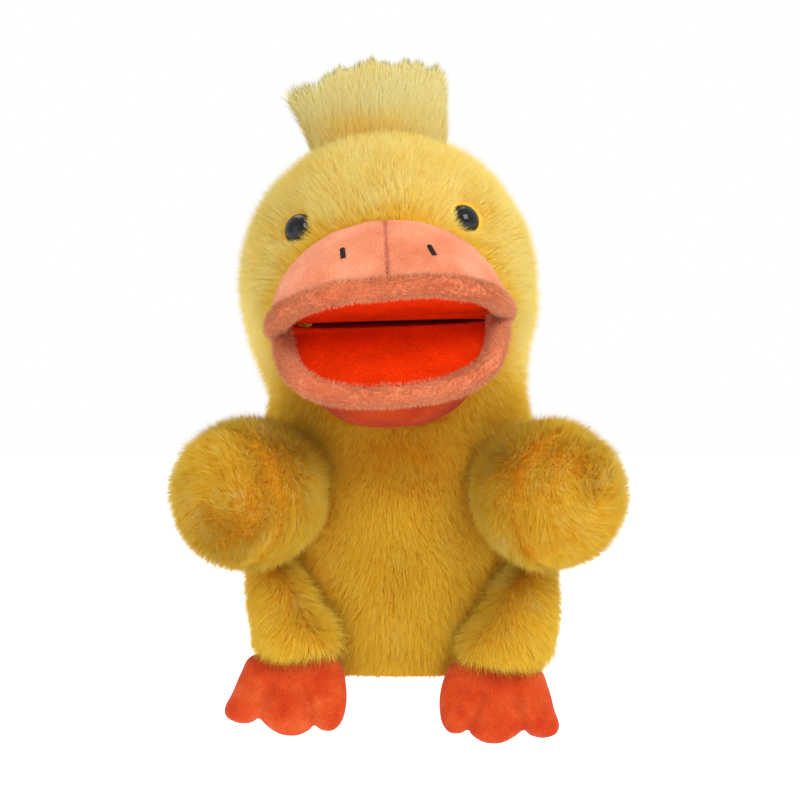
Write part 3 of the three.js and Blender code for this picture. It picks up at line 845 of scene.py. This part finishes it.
def body():
    """The sleeve from the hem to the neck."""
    tips = revolved(OUTLINE[0][0], NECK_SPLIT, 60)
    skin = skin_of(tips, 11)
    sleeve = skin.piece("sleeve_plush", MATERIALS["body_backing"], thickness=2.2)
    creases = [leg_ball(side) for side in SIDES] + [arm_ball(side) for side in SIDES]

    def tone(points):
        # Painted shade: the plush is darker next to the legs and arms and under the chin, where shade falls.
        shade = sum(near_ball(points, ball, 7) for ball in creases)
        return plush_tone(points) - 0.2 * shade.clip(0, 1) - under_chin(points, 104, 0.3)

    def short(points):
        hem = 1 - ease(points[:, 2], 2 * MM, 10 * MM)
        return 1 - 0.6 * hem - 0.4 * seam_line(points[:, 1])

    pile = grow(
        "sleeve_pile", skin, MATERIALS["plush_pile"], 21, brushed_down, lean=0.9, short=short, tone=tone,
        keep=lambda p: beside_bill(p) & (p[:, 2] > 2 * MM), avoid=out_of_bill, pieces=4,
    )
    for obj in [sleeve, *pile]:
        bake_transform(obj)
    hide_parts("body_front_panel", "body_back_panel")


def head():
    """The head from the neck up, open where the mouth is."""
    tips = revolved(NECK_SPLIT, OUTLINE[-1][0], 84, 132)
    skin = skin_of(tips, 12)
    mouth_hole = bill_ball(BILL["width"] - MOUTH_HOLE["side"], BILL["radius"] - MOUTH_HOLE["front"])
    cloth = skin.piece("head_plush", MATERIALS["head_backing"], 2.2, lambda p: mouth_hole.level(p) < 1)

    def short(points):
        eyes = sum(near_ball(points, ball, 5) for ball in EYE_BALLS).clip(0, 1)
        beak = near_ball(points, BILL_BALL, 5)
        back = seam_line(points[:, 0]) * (points[:, 1] > 0)
        return 1 - 0.5 * eyes - 0.35 * beak - 0.4 * back

    def tone(points):
        # Painted shade: the pile is darker next to the beak and under the chin.
        beak = near_ball(points, BILL_BALL, 6)
        return plush_tone(points) - 0.22 * beak - under_chin(points, 116, 0.15)

    def out_of_face(roots, tips):
        for ball in EYE_BALLS:
            tips = ball.pushed(tips)
        return out_of_bill(roots, tips)

    pile = grow(
        "head_pile", skin, MATERIALS["plush_pile"], 22, brushed_back, lean=1.0,
        keep=lambda p: beside_bill(p) & (np.min([b.level(p) for b in EYE_BALLS], axis=0) > 1),
        short=short, tone=tone, avoid=out_of_face, pieces=4,
    )
    for obj in [cloth, *pile]:
        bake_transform(obj)
    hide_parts("head_front_panel", "head_back_left_panel", "head_back_right_panel", "neck_ring")


def crest():
    """A fan of long soft pile in the seam on top of the head, on a thin core."""
    rise = np.linspace(0, 1, 24)[:, None]
    turn = circle(72)[None]
    side = (1 + np.cos(turn)) / 2
    flare = rise**1.6
    low, high = between(CREST["base"], side), between(CREST["top"], side)
    ridge = np.interp(side, [0, 0.3, 0.48, 0.76, 0.94, 1], [0, 0.75, 1, 0.9, 0.82, 0.5])
    edge = between((CREST["left"], CREST["peak"]), ridge)
    edge = edge + 1.1 * np.sin(side * 26) + 0.7 * np.sin(side * 61)
    base = CREST["roots"] + 4 * np.sin(side * math.pi)
    x = low + (high - low) * flare
    y = 2 + CREST["depth"] * (1 - 0.55 * rise) * (1 - rise**8) ** 0.5 * np.sin(turn) + 0.3 * np.sin(turn)
    z = base + (edge - 3 - base) * rise
    fan = Surface(rolled(np.stack([x, y + 0 * x, z], axis=-1) * MM))
    core = fan.moved(-0.8 * MM).piece("crest_core", MATERIALS["crest_cloth"])
    centre = rolled(vec(-7, 2, 178) * MM)

    def tone(points):
        middle = np.exp(-(((points[:, 0] + 13 * MM) / (24 * MM)) ** 2))
        return 0.8 - 0.75 * middle * (1 - ease(points[:, 2], 232 * MM, 246 * MM))

    pile = grow(
        "crest_pile", fan, MATERIALS["crest_pile"], 31, lambda p: unit(p - centre), length=7.5, width=0.26,
        density=6, lean=2.6, wild=0.3, tuft=3, fleck=0.02, tone=tone,
        short=lambda p: 1 - 0.35 * ease(p[:, 2], 245 * MM, 262 * MM),
    )
    for obj in [core, *pile]:
        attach(obj, "head")
    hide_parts("crest_tuft")


# ---------------------------------------------------------------- limbs

def arm_ball(side):
    end, axis = arm_axis(side)
    return Ball(end - axis * 8 * MM, vec(1, 1, 1) * 30 * MM)


def leg_drop(side):
    """How much lower than the left leg a leg is sewn on."""
    return HINGES[f"{side}_hip"]["pos_m"][2] - HINGES["left_hip"]["pos_m"][2]


def leg_ball(side):
    middle = vec(48 * SIDES[side], -38, 32) * MM + vec(0, 0, leg_drop(side))
    return Ball(middle, vec(19, 21, 28) * MM)


def stuff(obj, body_name, part=None):
    """Hangs a piece of fibre fill on a body and hides the CAD stuffing of that body, or of one part of it.
    """
    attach(obj, body_name)
    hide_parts(f"{part or body_name}_stuffing")


def arm(side):
    """A stuffed arm, its pile swirled on the end face and parted along the face's seam."""
    end, axis = arm_axis(side)
    skin = skin_of(lathed(end, axis, through(ARM_PROFILE, 44), 64), 41 + SIDES[side], ARM_PILE)
    cloth = skin.piece(f"{side}_arm_plush", MATERIALS["body_backing"])
    stuff(skin.moved(-1.5 * MM).piece(f"{side}_arm_fibre_fill", MATERIALS["fill"]), f"{side}_arm")
    face = unit(np.array(ARM_FACE) * [-SIDES[side], 1, 1])
    seam = 8 * MM

    def along(points):
        return (points - end) @ face

    def flow(points):
        offset = points - end
        offset = offset - np.outer(offset @ face, face)
        swirl = np.cross(face, unit(offset))
        front = ease(along(points), 6 * MM, 20 * MM)[:, None]
        return (1 - front) * unit(face + vec(0, 0, -0.5)) + front * (0.45 * swirl - 0.15 * unit(offset))

    def short(points):
        groove = bell((along(points) - seam) ** 2, 1.6 * MM)
        return 1 - 0.5 * groove - 0.1 * ease(along(points), 8 * MM, 20 * MM)

    def tone(points):
        # Painted shade: the pile is darker along the seam's groove and towards the shoulder, where the arm
        # meets the sleeve.
        groove = bell((along(points) - seam) ** 2, 2.2 * MM)
        root = 1 - ease((points - end) @ axis, -30 * MM, -12 * MM)
        return 0.5 - 0.2 * groove - 0.15 * root

    pile = grow(
        f"{side}_arm_pile", skin, MATERIALS["plush_pile"], 61 + SIDES[side], flow, length=6.6, lean=1.1,
        wild=0.4, pull=0.4, fleck=0.28, short=short, tone=tone,
        keep=lambda p: (p - end) @ axis > -38 * MM,
    )
    for obj in [cloth, *pile]:
        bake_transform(obj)
    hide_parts(f"{side}_arm_upper_panel", f"{side}_arm_lower_panel")


def leg(side):
    """A flat stuffed leg in front of the sleeve."""
    profile = through(LEG_PROFILE, 40)
    z, across, wide, back, deep = (profile[:, k, None] for k in range(5))
    turn = circle(56)[None]
    width = LEG_WIDTH[side]
    x = (across - (width - 1) * 15 + width * np.maximum(wide, 0.01) * np.cos(turn)) * -SIDES[side]
    y = back + np.maximum(deep, 0.01) * np.sin(turn)
    tips = np.stack([x, y, z + leg_drop(side) / MM + 0 * turn], axis=-1) * MM
    skin = skin_of(tips, 51 + SIDES[side], LEG_PILE)
    cloth = skin.piece(f"{side}_leg_plush", MATERIALS["body_backing"])
    fill = skin.moved(-1.5 * MM).piece(f"{side}_leg_fibre_fill", MATERIALS["fill"])
    back_edge = LEG_BACK * MM

    def tone(points):
        # Painted shade: the pile darkens towards the sleeve, where the leg meets it.
        return 0.52 - 0.25 * ease(points[:, 1], back_edge - 8 * MM, back_edge + 4 * MM)

    pile = grow(
        f"{side}_leg_pile", skin, MATERIALS["plush_pile"], 71 + SIDES[side], brushed_down, length=8.4,
        lean=2.0, fleck=0.12, keep=lambda p: p[:, 1] < back_edge + 16 * MM, tone=tone,
    )
    for obj in [cloth, *pile]:
        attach(obj, f"{side}_leg")
    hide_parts(f"{side}_leg_front_panel", f"{side}_leg_back_panel")
    stuff(fill, f"{side}_leg")


def inflated(obj, pressure, pinned, cap):
    """A closed cloth blown up by pressure inside, moving no point further than cap millimetres."""
    before = vertices_of(obj)
    group = obj.vertex_groups.new(name="sewn")
    for index, weight in enumerate(pinned(before)):
        group.add([index], float(weight), "REPLACE")
    cloth = obj.modifiers.new("cloth", "CLOTH").settings
    cloth.quality = 6
    cloth.mass = 0.1
    cloth.tension_stiffness = 12
    cloth.bending_stiffness = 0.4
    cloth.use_pressure = True
    cloth.uniform_pressure_force = pressure
    cloth.vertex_group_mass = group.name
    cloth.effector_weights.gravity = 0
    scene = bpy.context.scene
    for frame_number in range(1, 21):
        scene.frame_set(frame_number)
    graph = bpy.context.evaluated_depsgraph_get()
    after = vertices_of(obj.evaluated_get(graph))
    obj.modifiers.clear()
    obj.vertex_groups.clear()
    scene.frame_set(1)
    move = after - before
    far = np.linalg.norm(move, axis=1, keepdims=True)
    move *= np.minimum(1, cap * MM / np.maximum(far, 1e-9))
    set_vertices(obj, before + move)


def groove_distance(grooves, x, y):
    """Distance to the nearest line sewn between two toes."""
    nearest = np.full(np.shape(x), np.inf)
    for start, end in grooves:
        line = end - start
        offset = np.stack([x - start[0], y - start[1]], axis=-1)
        share = (offset @ line / (line @ line)).clip(0, 1)
        nearest = np.minimum(nearest, np.linalg.norm(offset - share[..., None] * line, axis=-1))
    return nearest


def foot(side):
    """A webbed foot: an outline blown up to a pad, with a line sewn between its toes."""
    turn = math.radians(FOOT_TURN[side])
    inwards = np.array([[math.cos(turn), -math.sin(turn)], [math.sin(turn), math.cos(turn)]])
    grooves = np.array(TOE_GROOVES) @ inwards
    outline = through(FOOT_OUTLINE + FOOT_OUTLINE[:1], 121)[:-1] @ inwards
    centre = np.array(FOOT["centre"], float)
    rings = np.sin(np.linspace(0, math.pi / 2, 18))
    flat = centre + rings[:, None, None] * (outline - centre)
    x, y = flat[..., 0], flat[..., 1]
    height = FOOT["thickness"] * (1 - rings**2.6) ** 0.5
    swell = height[:, None] * (1 - 0.4 * bell(groove_distance(grooves, x, y) ** 2, 1.5))
    shift = FOOT["shift"][side]
    front = np.stack([x * SIDES[side] + shift, -swell, y], axis=-1)
    back = np.stack([x * SIDES[side] + shift, swell, y], axis=-1)[::-1]
    local = np.concatenate([front, back[1:]])
    tilt = math.radians(FOOT["tilt"])
    ankle = np.array(HINGES[f"{side}_ankle"]["pos_m"])

    def swung(points):
        across, deep, up = np.moveaxis(points, -1, 0)
        turned_y = deep * math.cos(tilt) + up * math.sin(tilt)
        turned_z = up * math.cos(tilt) - deep * math.sin(tilt)
        return ankle + np.stack([across, turned_y, turned_z], axis=-1) * MM

    def sewn(points):
        offset = (points - ankle) / MM
        deep = offset[:, 1] * math.cos(tilt) - offset[:, 2] * math.sin(tilt)
        up = offset[:, 2] * math.cos(tilt) + offset[:, 1] * math.sin(tilt)
        out = (offset[:, 0] - shift) * SIDES[side]
        return np.maximum(np.abs(deep) < 0.6, groove_distance(grooves, out, up) < 0.9)

    pad = Surface(swung(local))
    pad = pad.moved(0.3 * MM * noise(pad.points, 7 * MM, 81 + SIDES[side]))
    obj = pad.piece(f"{side}_foot_pad", MATERIALS["foot"])
    inflated(obj, 2.0, sewn, 1.6)
    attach(obj, f"{side}_foot")
    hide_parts(f"{side}_foot_front_panel", f"{side}_foot_back_panel")
    core = (local - [shift, 0, 0]) * [0.84, 0.6, 0.84] + [shift, 0, -0.6]
    stuff(Surface(swung(core)).piece(f"{side}_foot_fibre_fill", MATERIALS["fill"]), f"{side}_foot")


# ---------------------------------------------------------------- beak and mouth

def bill_reach(x, angle):
    """Distance of the beak's cloth from the crease, in millimetres, at degrees above the front."""
    square = 2 + 0.7 * (1 - ease(angle, 12, 70))
    side = np.clip(np.abs(x) / BILL["width"], 0, 1)
    reach = BILL["radius"] * (1 - side**square) ** (1 / square)
    hollow = 3.4 * bell((angle - 44) ** 2, 16) * (1 - side**2)
    seam = 0.7 * bell(x**2, 0.9)
    return reach - hollow - seam


def beak():
    """Two panels of short-pile cloth over the palate, with a sunk seam between them."""
    angles = np.linspace(LIPS["upper"]["angle"] + 8, 142, 64)
    for side, sign in SIDES.items():
        share = np.sin(np.linspace(0.0, 1, 40) * math.pi / 2)
        x = sign * (0.12 + share * (BILL["width"] - 0.5))
        xs, turn = np.meshgrid(x, angles)
        points = bill_point(xs, turn, bill_reach(xs, turn))
        surface = Surface(points if sign > 0 else points[:, ::-1], wrap=False)
        surface = surface.moved(0.3 * MM * noise(surface.points, 9 * MM, 91))
        panel = surface.piece(f"beak_{side}_panel_cloth", MATERIALS["beak"], thickness=BILL["cloth"])
        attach(panel, "head")
        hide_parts(f"beak_{side}_panel")
    stitches = []
    for start in np.arange(LIPS["upper"]["angle"] + 16, 88, 4.2):
        turn = np.linspace(start, start + 2.6, 5)
        lift = 0.15 * np.sin(np.linspace(0, math.pi, 5))
        stitches.append(bill_point(0.0, turn, bill_reach(0.9, turn) + lift - 0.1))
    thread = tubes("beak_seam_thread", stitches, 0.22, MATERIALS["beak_thread"])
    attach(thread, "head")


def nostril(side):
    """A bar of satin stitches, thread beside thread."""
    out, up, slant = NOSTRIL_PLACE[side]
    slant = math.radians(slant)
    threads = []
    for step in np.linspace(-0.5, 0.5, 9):
        row = []
        for across in np.linspace(-0.5, 0.5, 7):
            along = step * NOSTRIL["length"]
            dx = across * NOSTRIL["width"] * math.cos(slant) - along * math.sin(slant)
            rise = along * math.cos(slant) + across * NOSTRIL["width"] * math.sin(slant)
            x = SIDES[side] * out + dx
            angle = up + math.degrees(rise / BILL["radius"])
            lift = 0.45 * math.cos(across * math.pi)
            row.append(bill_point(x, angle, bill_reach(x, angle) + lift))
        threads.append(np.array(row))
    bar = tubes(f"{side}_nostril_thread", threads, 0.36, MATERIALS["black_thread"])
    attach(bar, "head")
    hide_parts(f"{side}_nostril_stitch")


def chin_surface(angles, inset):
    """The lower half of the bill around a middle that lies a little under the felt."""
    share = np.sin(np.linspace(-1, 1, 72) * math.pi / 2 * 0.985)
    side, turn = np.meshgrid(share, angles)
    level = ease(-turn, 38, 68)
    half = LIPS["lower"]["width"] * (1 - level) + (BILL["chin"] - 6) * level - inset
    square = LIPS["lower"]["square"] * (1 - level) + 2.5 * level
    reach = (CHIN["radius"] - inset) * (1 - np.abs(side) ** square) ** (1 / square)
    fold = 0.35 * np.sin(turn * 0.35) * (1 - side**2)
    under = np.radians(LIPS["lower"]["angle"])
    drop = vec(0, math.sin(under), math.cos(under)) * -CHIN["drop"] * MM
    return bill_point(side * half, turn, reach + fold) + drop


def chin():
    """Cloth around the lower half of the bill, from the lower lip back into the throat."""
    surface = Surface(chin_surface(np.linspace(-39, -152, 60), 0), wrap=False)
    cloth = surface.piece("chin_cloth", MATERIALS["chin"], thickness=2.0)
    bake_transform(cloth)
    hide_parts("chin_panel")
    outer, inner = (chin_surface(np.linspace(-54, -84, 30), inset) for inset in (3, 12))
    core = Surface(np.concatenate([outer, inner[:, ::-1]], axis=1))
    stuff(core.piece("chin_fibre_fill", MATERIALS["fill"]), "jaw", "chin")


def lip_path(shape, count):
    """The middle of a lip's roll, from one corner of the mouth round to the other."""
    turn = np.linspace(0.0, math.pi, count)
    power = 2 / shape["square"]
    x = shape["width"] * np.sign(np.cos(turn)) * np.abs(np.cos(turn)) ** power
    reach = shape["depth"] * np.abs(np.sin(turn)) ** power
    reach = reach - LIP_TUCK * ease(np.abs(x) / shape["width"], 0.9, 1)
    x, reach = spaced(x, reach, count=count)
    sign = math.copysign(1, shape["angle"])
    arch = 1 - np.abs(x / shape["width"]) ** 2.4
    lift = sign * (shape["corner"] + (shape["middle"] - shape["corner"]) * arch)
    lift = lift + shape["skew"] * x / shape["width"]
    a = math.radians(shape["angle"])
    y = -reach * math.cos(a) + lift * math.sin(a)
    z = reach * math.sin(a) + lift * math.cos(a)
    return rolled(CREASE + np.stack([x, y, z], axis=1) * MM)


def lip(side, body_name, seed):
    """A soft roll of short plush with a fine pile."""
    path = lip_path(LIPS[side], 110)
    radii = LIP_RADIUS * MM * (1 - 0.1 * np.abs(np.linspace(-1, 1, 110)) ** 6)
    surface = Surface(tube_grid(path, radii, 26, 0.96))
    surface = surface.moved((0.3 * noise(surface.points, 5 * MM, seed) - 1.4) * MM)
    roll = surface.piece(f"{side}_lip_roll", MATERIALS["lip"])
    pile = grow(
        f"{side}_lip_pile", surface, MATERIALS["lip_pile"], seed,
        lambda p: np.tile(vec(0, -0.3, -0.6), (len(p), 1)), length=1.9, width=0.42, density=4.6,
        lean=0.5, wild=0.7, tuft=1.8, pull=0.4, fleck=0.26,
    )
    for obj in [roll, *pile]:
        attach(obj, body_name)
    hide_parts(f"{side}_lip")


def mouth_lining():
    """One sheet of felt, from the palate's front edge back to the crease and out over the floor."""
    rows, columns = 75, 61
    off_plane = FELT["off_plane"]
    sheets = []
    for shape, edge in zip(LIPS.values(), SLIT.values()):
        sign = math.copysign(1, shape["angle"])
        out = np.sin(np.linspace(0, 1, rows) * math.pi / 2)[:, None]
        width = (shape["width"] + FELT["overlap"]) * (1 - out ** shape["square"]) ** (1 / shape["square"])
        reach = (shape["depth"] - FELT["short_of_front"] + FOLD) * out - FOLD
        share = np.linspace(-1, 1, columns)
        x = share * np.maximum(width - 2 * ease(-reach, 0, 5), 2.0)
        corner = share**6  # the fold closes towards the mouth's corners
        reach = np.where(reach < 0, reach * (1 - 0.75 * corner), reach + 0 * x)
        front = ease(reach, -0.5, 4)
        a = math.radians(shape["angle"])
        y = front * (sign * off_plane * math.sin(a) - reach * math.cos(a)) - (1 - front) * reach
        plane = reach * math.sin(a) + sign * off_plane * math.cos(a)
        fold = edge * (1 - corner) + SLIT_SKEW * x / shape["width"] - 0.1 * reach
        z = front * plane + (1 - front) * fold
        sheet = np.stack([x, y, z], axis=-1)
        sheets.append(sheet[::-1] if sign > 0 else sheet[1:])
    surface = Surface(rolled(CREASE + np.concatenate(sheets) * MM), wrap=False)
    felt = surface.piece("mouth_felt_sheet", MATERIALS["felt"], thickness=FELT["cloth"])
    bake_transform(felt)
    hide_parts("palate_felt", "mouth_floor_felt")


def eye(side):
    """A polished dome on a narrow rim, where the CAD eye sits."""
    top, outward = EYES[side]
    radius, height = EYE["radius"], EYE["height"]
    turn = np.linspace(0, math.pi / 2, 18)
    dome = np.stack([height * np.sin(turn) - height, radius * np.cos(turn)], axis=1)
    rim = vec([-2.4, 0.01 - radius], [-2.4, -0.5], [-1.9, 0.1], [-0.5, 0.15]) + [-height, radius]
    points = lathed(top, outward, np.vstack([rim, dome]), 48)
    obj = Surface(points).piece(f"{side}_eye_dome", MATERIALS["eye"])
    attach(obj, "head")
    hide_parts(f"{side}_eye")


# ---------------------------------------------------------------- lining, hem and inside

def sleeve_lining():
    """The lining of the sleeve, with the hem where the plush is turned in."""
    smooth = Surface(revolved(OUTLINE[0][0], NECK_SPLIT, 50)).moved(-(PILE + 4.0) * MM)
    folds = 0.8 * np.sin(np.arctan2(smooth.points[:, 0], smooth.points[:, 1]) * 14)
    folded = smooth.moved((folds * ease(smooth.points[:, 2], 0.01, 0.05) - 0.8) * MM)
    lining = folded.piece("sleeve_lining_cloth", MATERIALS["lining"], thickness=0.8)
    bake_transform(lining)
    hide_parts("lining_sleeve", "neck_lining")
    rim = Surface(revolved(OUTLINE[0][0], NECK_SPLIT, 60)).moved(-(PILE + 2.0) * MM)
    ring = rim.points.reshape(rim.rows, rim.columns, 3)[1]
    ring = np.vstack([ring, ring[:1]])
    ring[:, 2] += 0.6 * MM
    hem = Surface(tube_grid(ring, 2.4 * MM, 14)[2:-2])
    roll = hem.moved(0.25 * MM * noise(hem.points, 4 * MM, 17)).piece("hem_roll", MATERIALS["body_backing"])
    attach(roll, "torso")
    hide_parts("hem_band")


def softened(node, material, voxel, name):
    """A CAD node's soft solid, remeshed, smoothed and made lumpy."""
    mesh = frame["nodes"][node].data.copy()
    mesh.materials.clear()
    mesh.materials.append(material)
    obj = bpy.data.objects.new(name, mesh)
    bpy.context.scene.collection.objects.link(obj)
    modified(obj, "REMESH", mode="VOXEL", voxel_size=voxel * MM)
    modified(obj, "SMOOTH", iterations=6)
    points = vertices_of(obj)
    normals = np.array([vertex.normal for vertex in obj.data.vertices])
    points += normals * (0.5 * MM * noise(points, 5 * MM, 5) - 0.3 * MM)[:, None]
    set_vertices(obj, points)
    obj.data.shade_smooth()
    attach(obj, frame["nodes"][node]["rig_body"])
    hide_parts(node)
    return obj


def inside():
    """Fills and pockets, and the finish of the boards and washers that stay as the CAD has them."""
    for part in ("head", "beak"):
        fill = softened(f"{part}_stuffing", MATERIALS["fill"], 1.8, f"{part}_fibre_fill")
    for node in ("finger_pocket", "thumb_pocket"):
        pocket = softened(node, MATERIALS["lining"], 0.8, f"{node}_cloth")
    kept = {"palate_board": "board", "jaw_board": "board"}
    kept.update({f"{side}_eye_washer": "washer" for side in SIDES})
    for node, finish in kept.items():
        frame["nodes"][node].data.materials.clear()
        frame["nodes"][node].data.materials.append(MATERIALS[finish])


# ---------------------------------------------------------------- studio

def area_light(name, place, size, power, target=(0, 0, 0.12)):
    data = bpy.data.lights.new(name, "AREA")
    data.size = size
    data.energy = power
    light = bpy.data.objects.new(name, data)
    light.location = place
    light.rotation_euler = (Vector(target) - Vector(place)).to_track_quat("-Z", "Y").to_euler()
    bpy.context.scene.collection.objects.link(light)


def studio():
    """A pale floor, soft lights and a camera at the photograph's place."""
    scene = bpy.context.scene
    scene.view_settings.view_transform = "Standard"
    world = bpy.data.worlds.new("studio")
    scene.world = world
    world.use_nodes = True
    background = world.node_tree.nodes["Background"]
    background.inputs["Color"].default_value = (1, 1, 1, 1)
    background.inputs["Strength"].default_value = SKY
    plain = world.node_tree.nodes.new("ShaderNodeBackground")
    plain.inputs["Color"].default_value = (1, 1, 1, 1)
    ray = world.node_tree.nodes.new("ShaderNodeLightPath")
    mix = world.node_tree.nodes.new("ShaderNodeMixShader")
    links = world.node_tree.links
    links.new(ray.outputs["Is Camera Ray"], mix.inputs["Fac"])
    links.new(background.outputs[0], mix.inputs[1])
    links.new(plain.outputs[0], mix.inputs[2])
    links.new(mix.outputs[0], world.node_tree.nodes["World Output"].inputs["Surface"])

    glow = {"Emission_Color": (1, 1, 1, 1), "Emission_Strength": FLOOR["glow"]}
    shader = Shader("studio_floor", Roughness=0.9, **glow)
    greys = [(0.3, (0.8, 0.8, 0.8, 1)), (0.7, (0.83, 0.83, 0.83, 1))]
    shader.paint(shader.ramp(shader.noise(60), greys))
    corners = vec([-1, -1, 0], [1, -1, 0], [1, 1, 0], [-1, 1, 0]) * FLOOR["half_size"]
    ground = corners + vec(0, 0, FLOOR["height"])
    floor = mesh_object("studio_floor", ground, np.array([[0, 1, 2, 3]]), shader.material)

    for name, settings in LIGHTS.items():
        area_light(name, *settings)

    camera = bpy.data.objects.new("camera", bpy.data.cameras.new("camera"))
    camera.data.lens = CAMERA["lens"]
    camera.data.clip_start = 0.05
    camera.location = CAMERA["place"]
    camera.rotation_euler = (math.pi / 2, 0, 0)
    scene.collection.objects.link(camera)
    scene.camera = camera


studio()
body()
head()
crest()
for one_side in SIDES:
    arm(one_side)
    leg(one_side)
    foot(one_side)
    nostril(one_side)
    eye(one_side)
beak()
chin()
lip("upper", "head", 101)
lip("lower", "jaw", 102)
mouth_lining()
sleeve_lining()
inside()
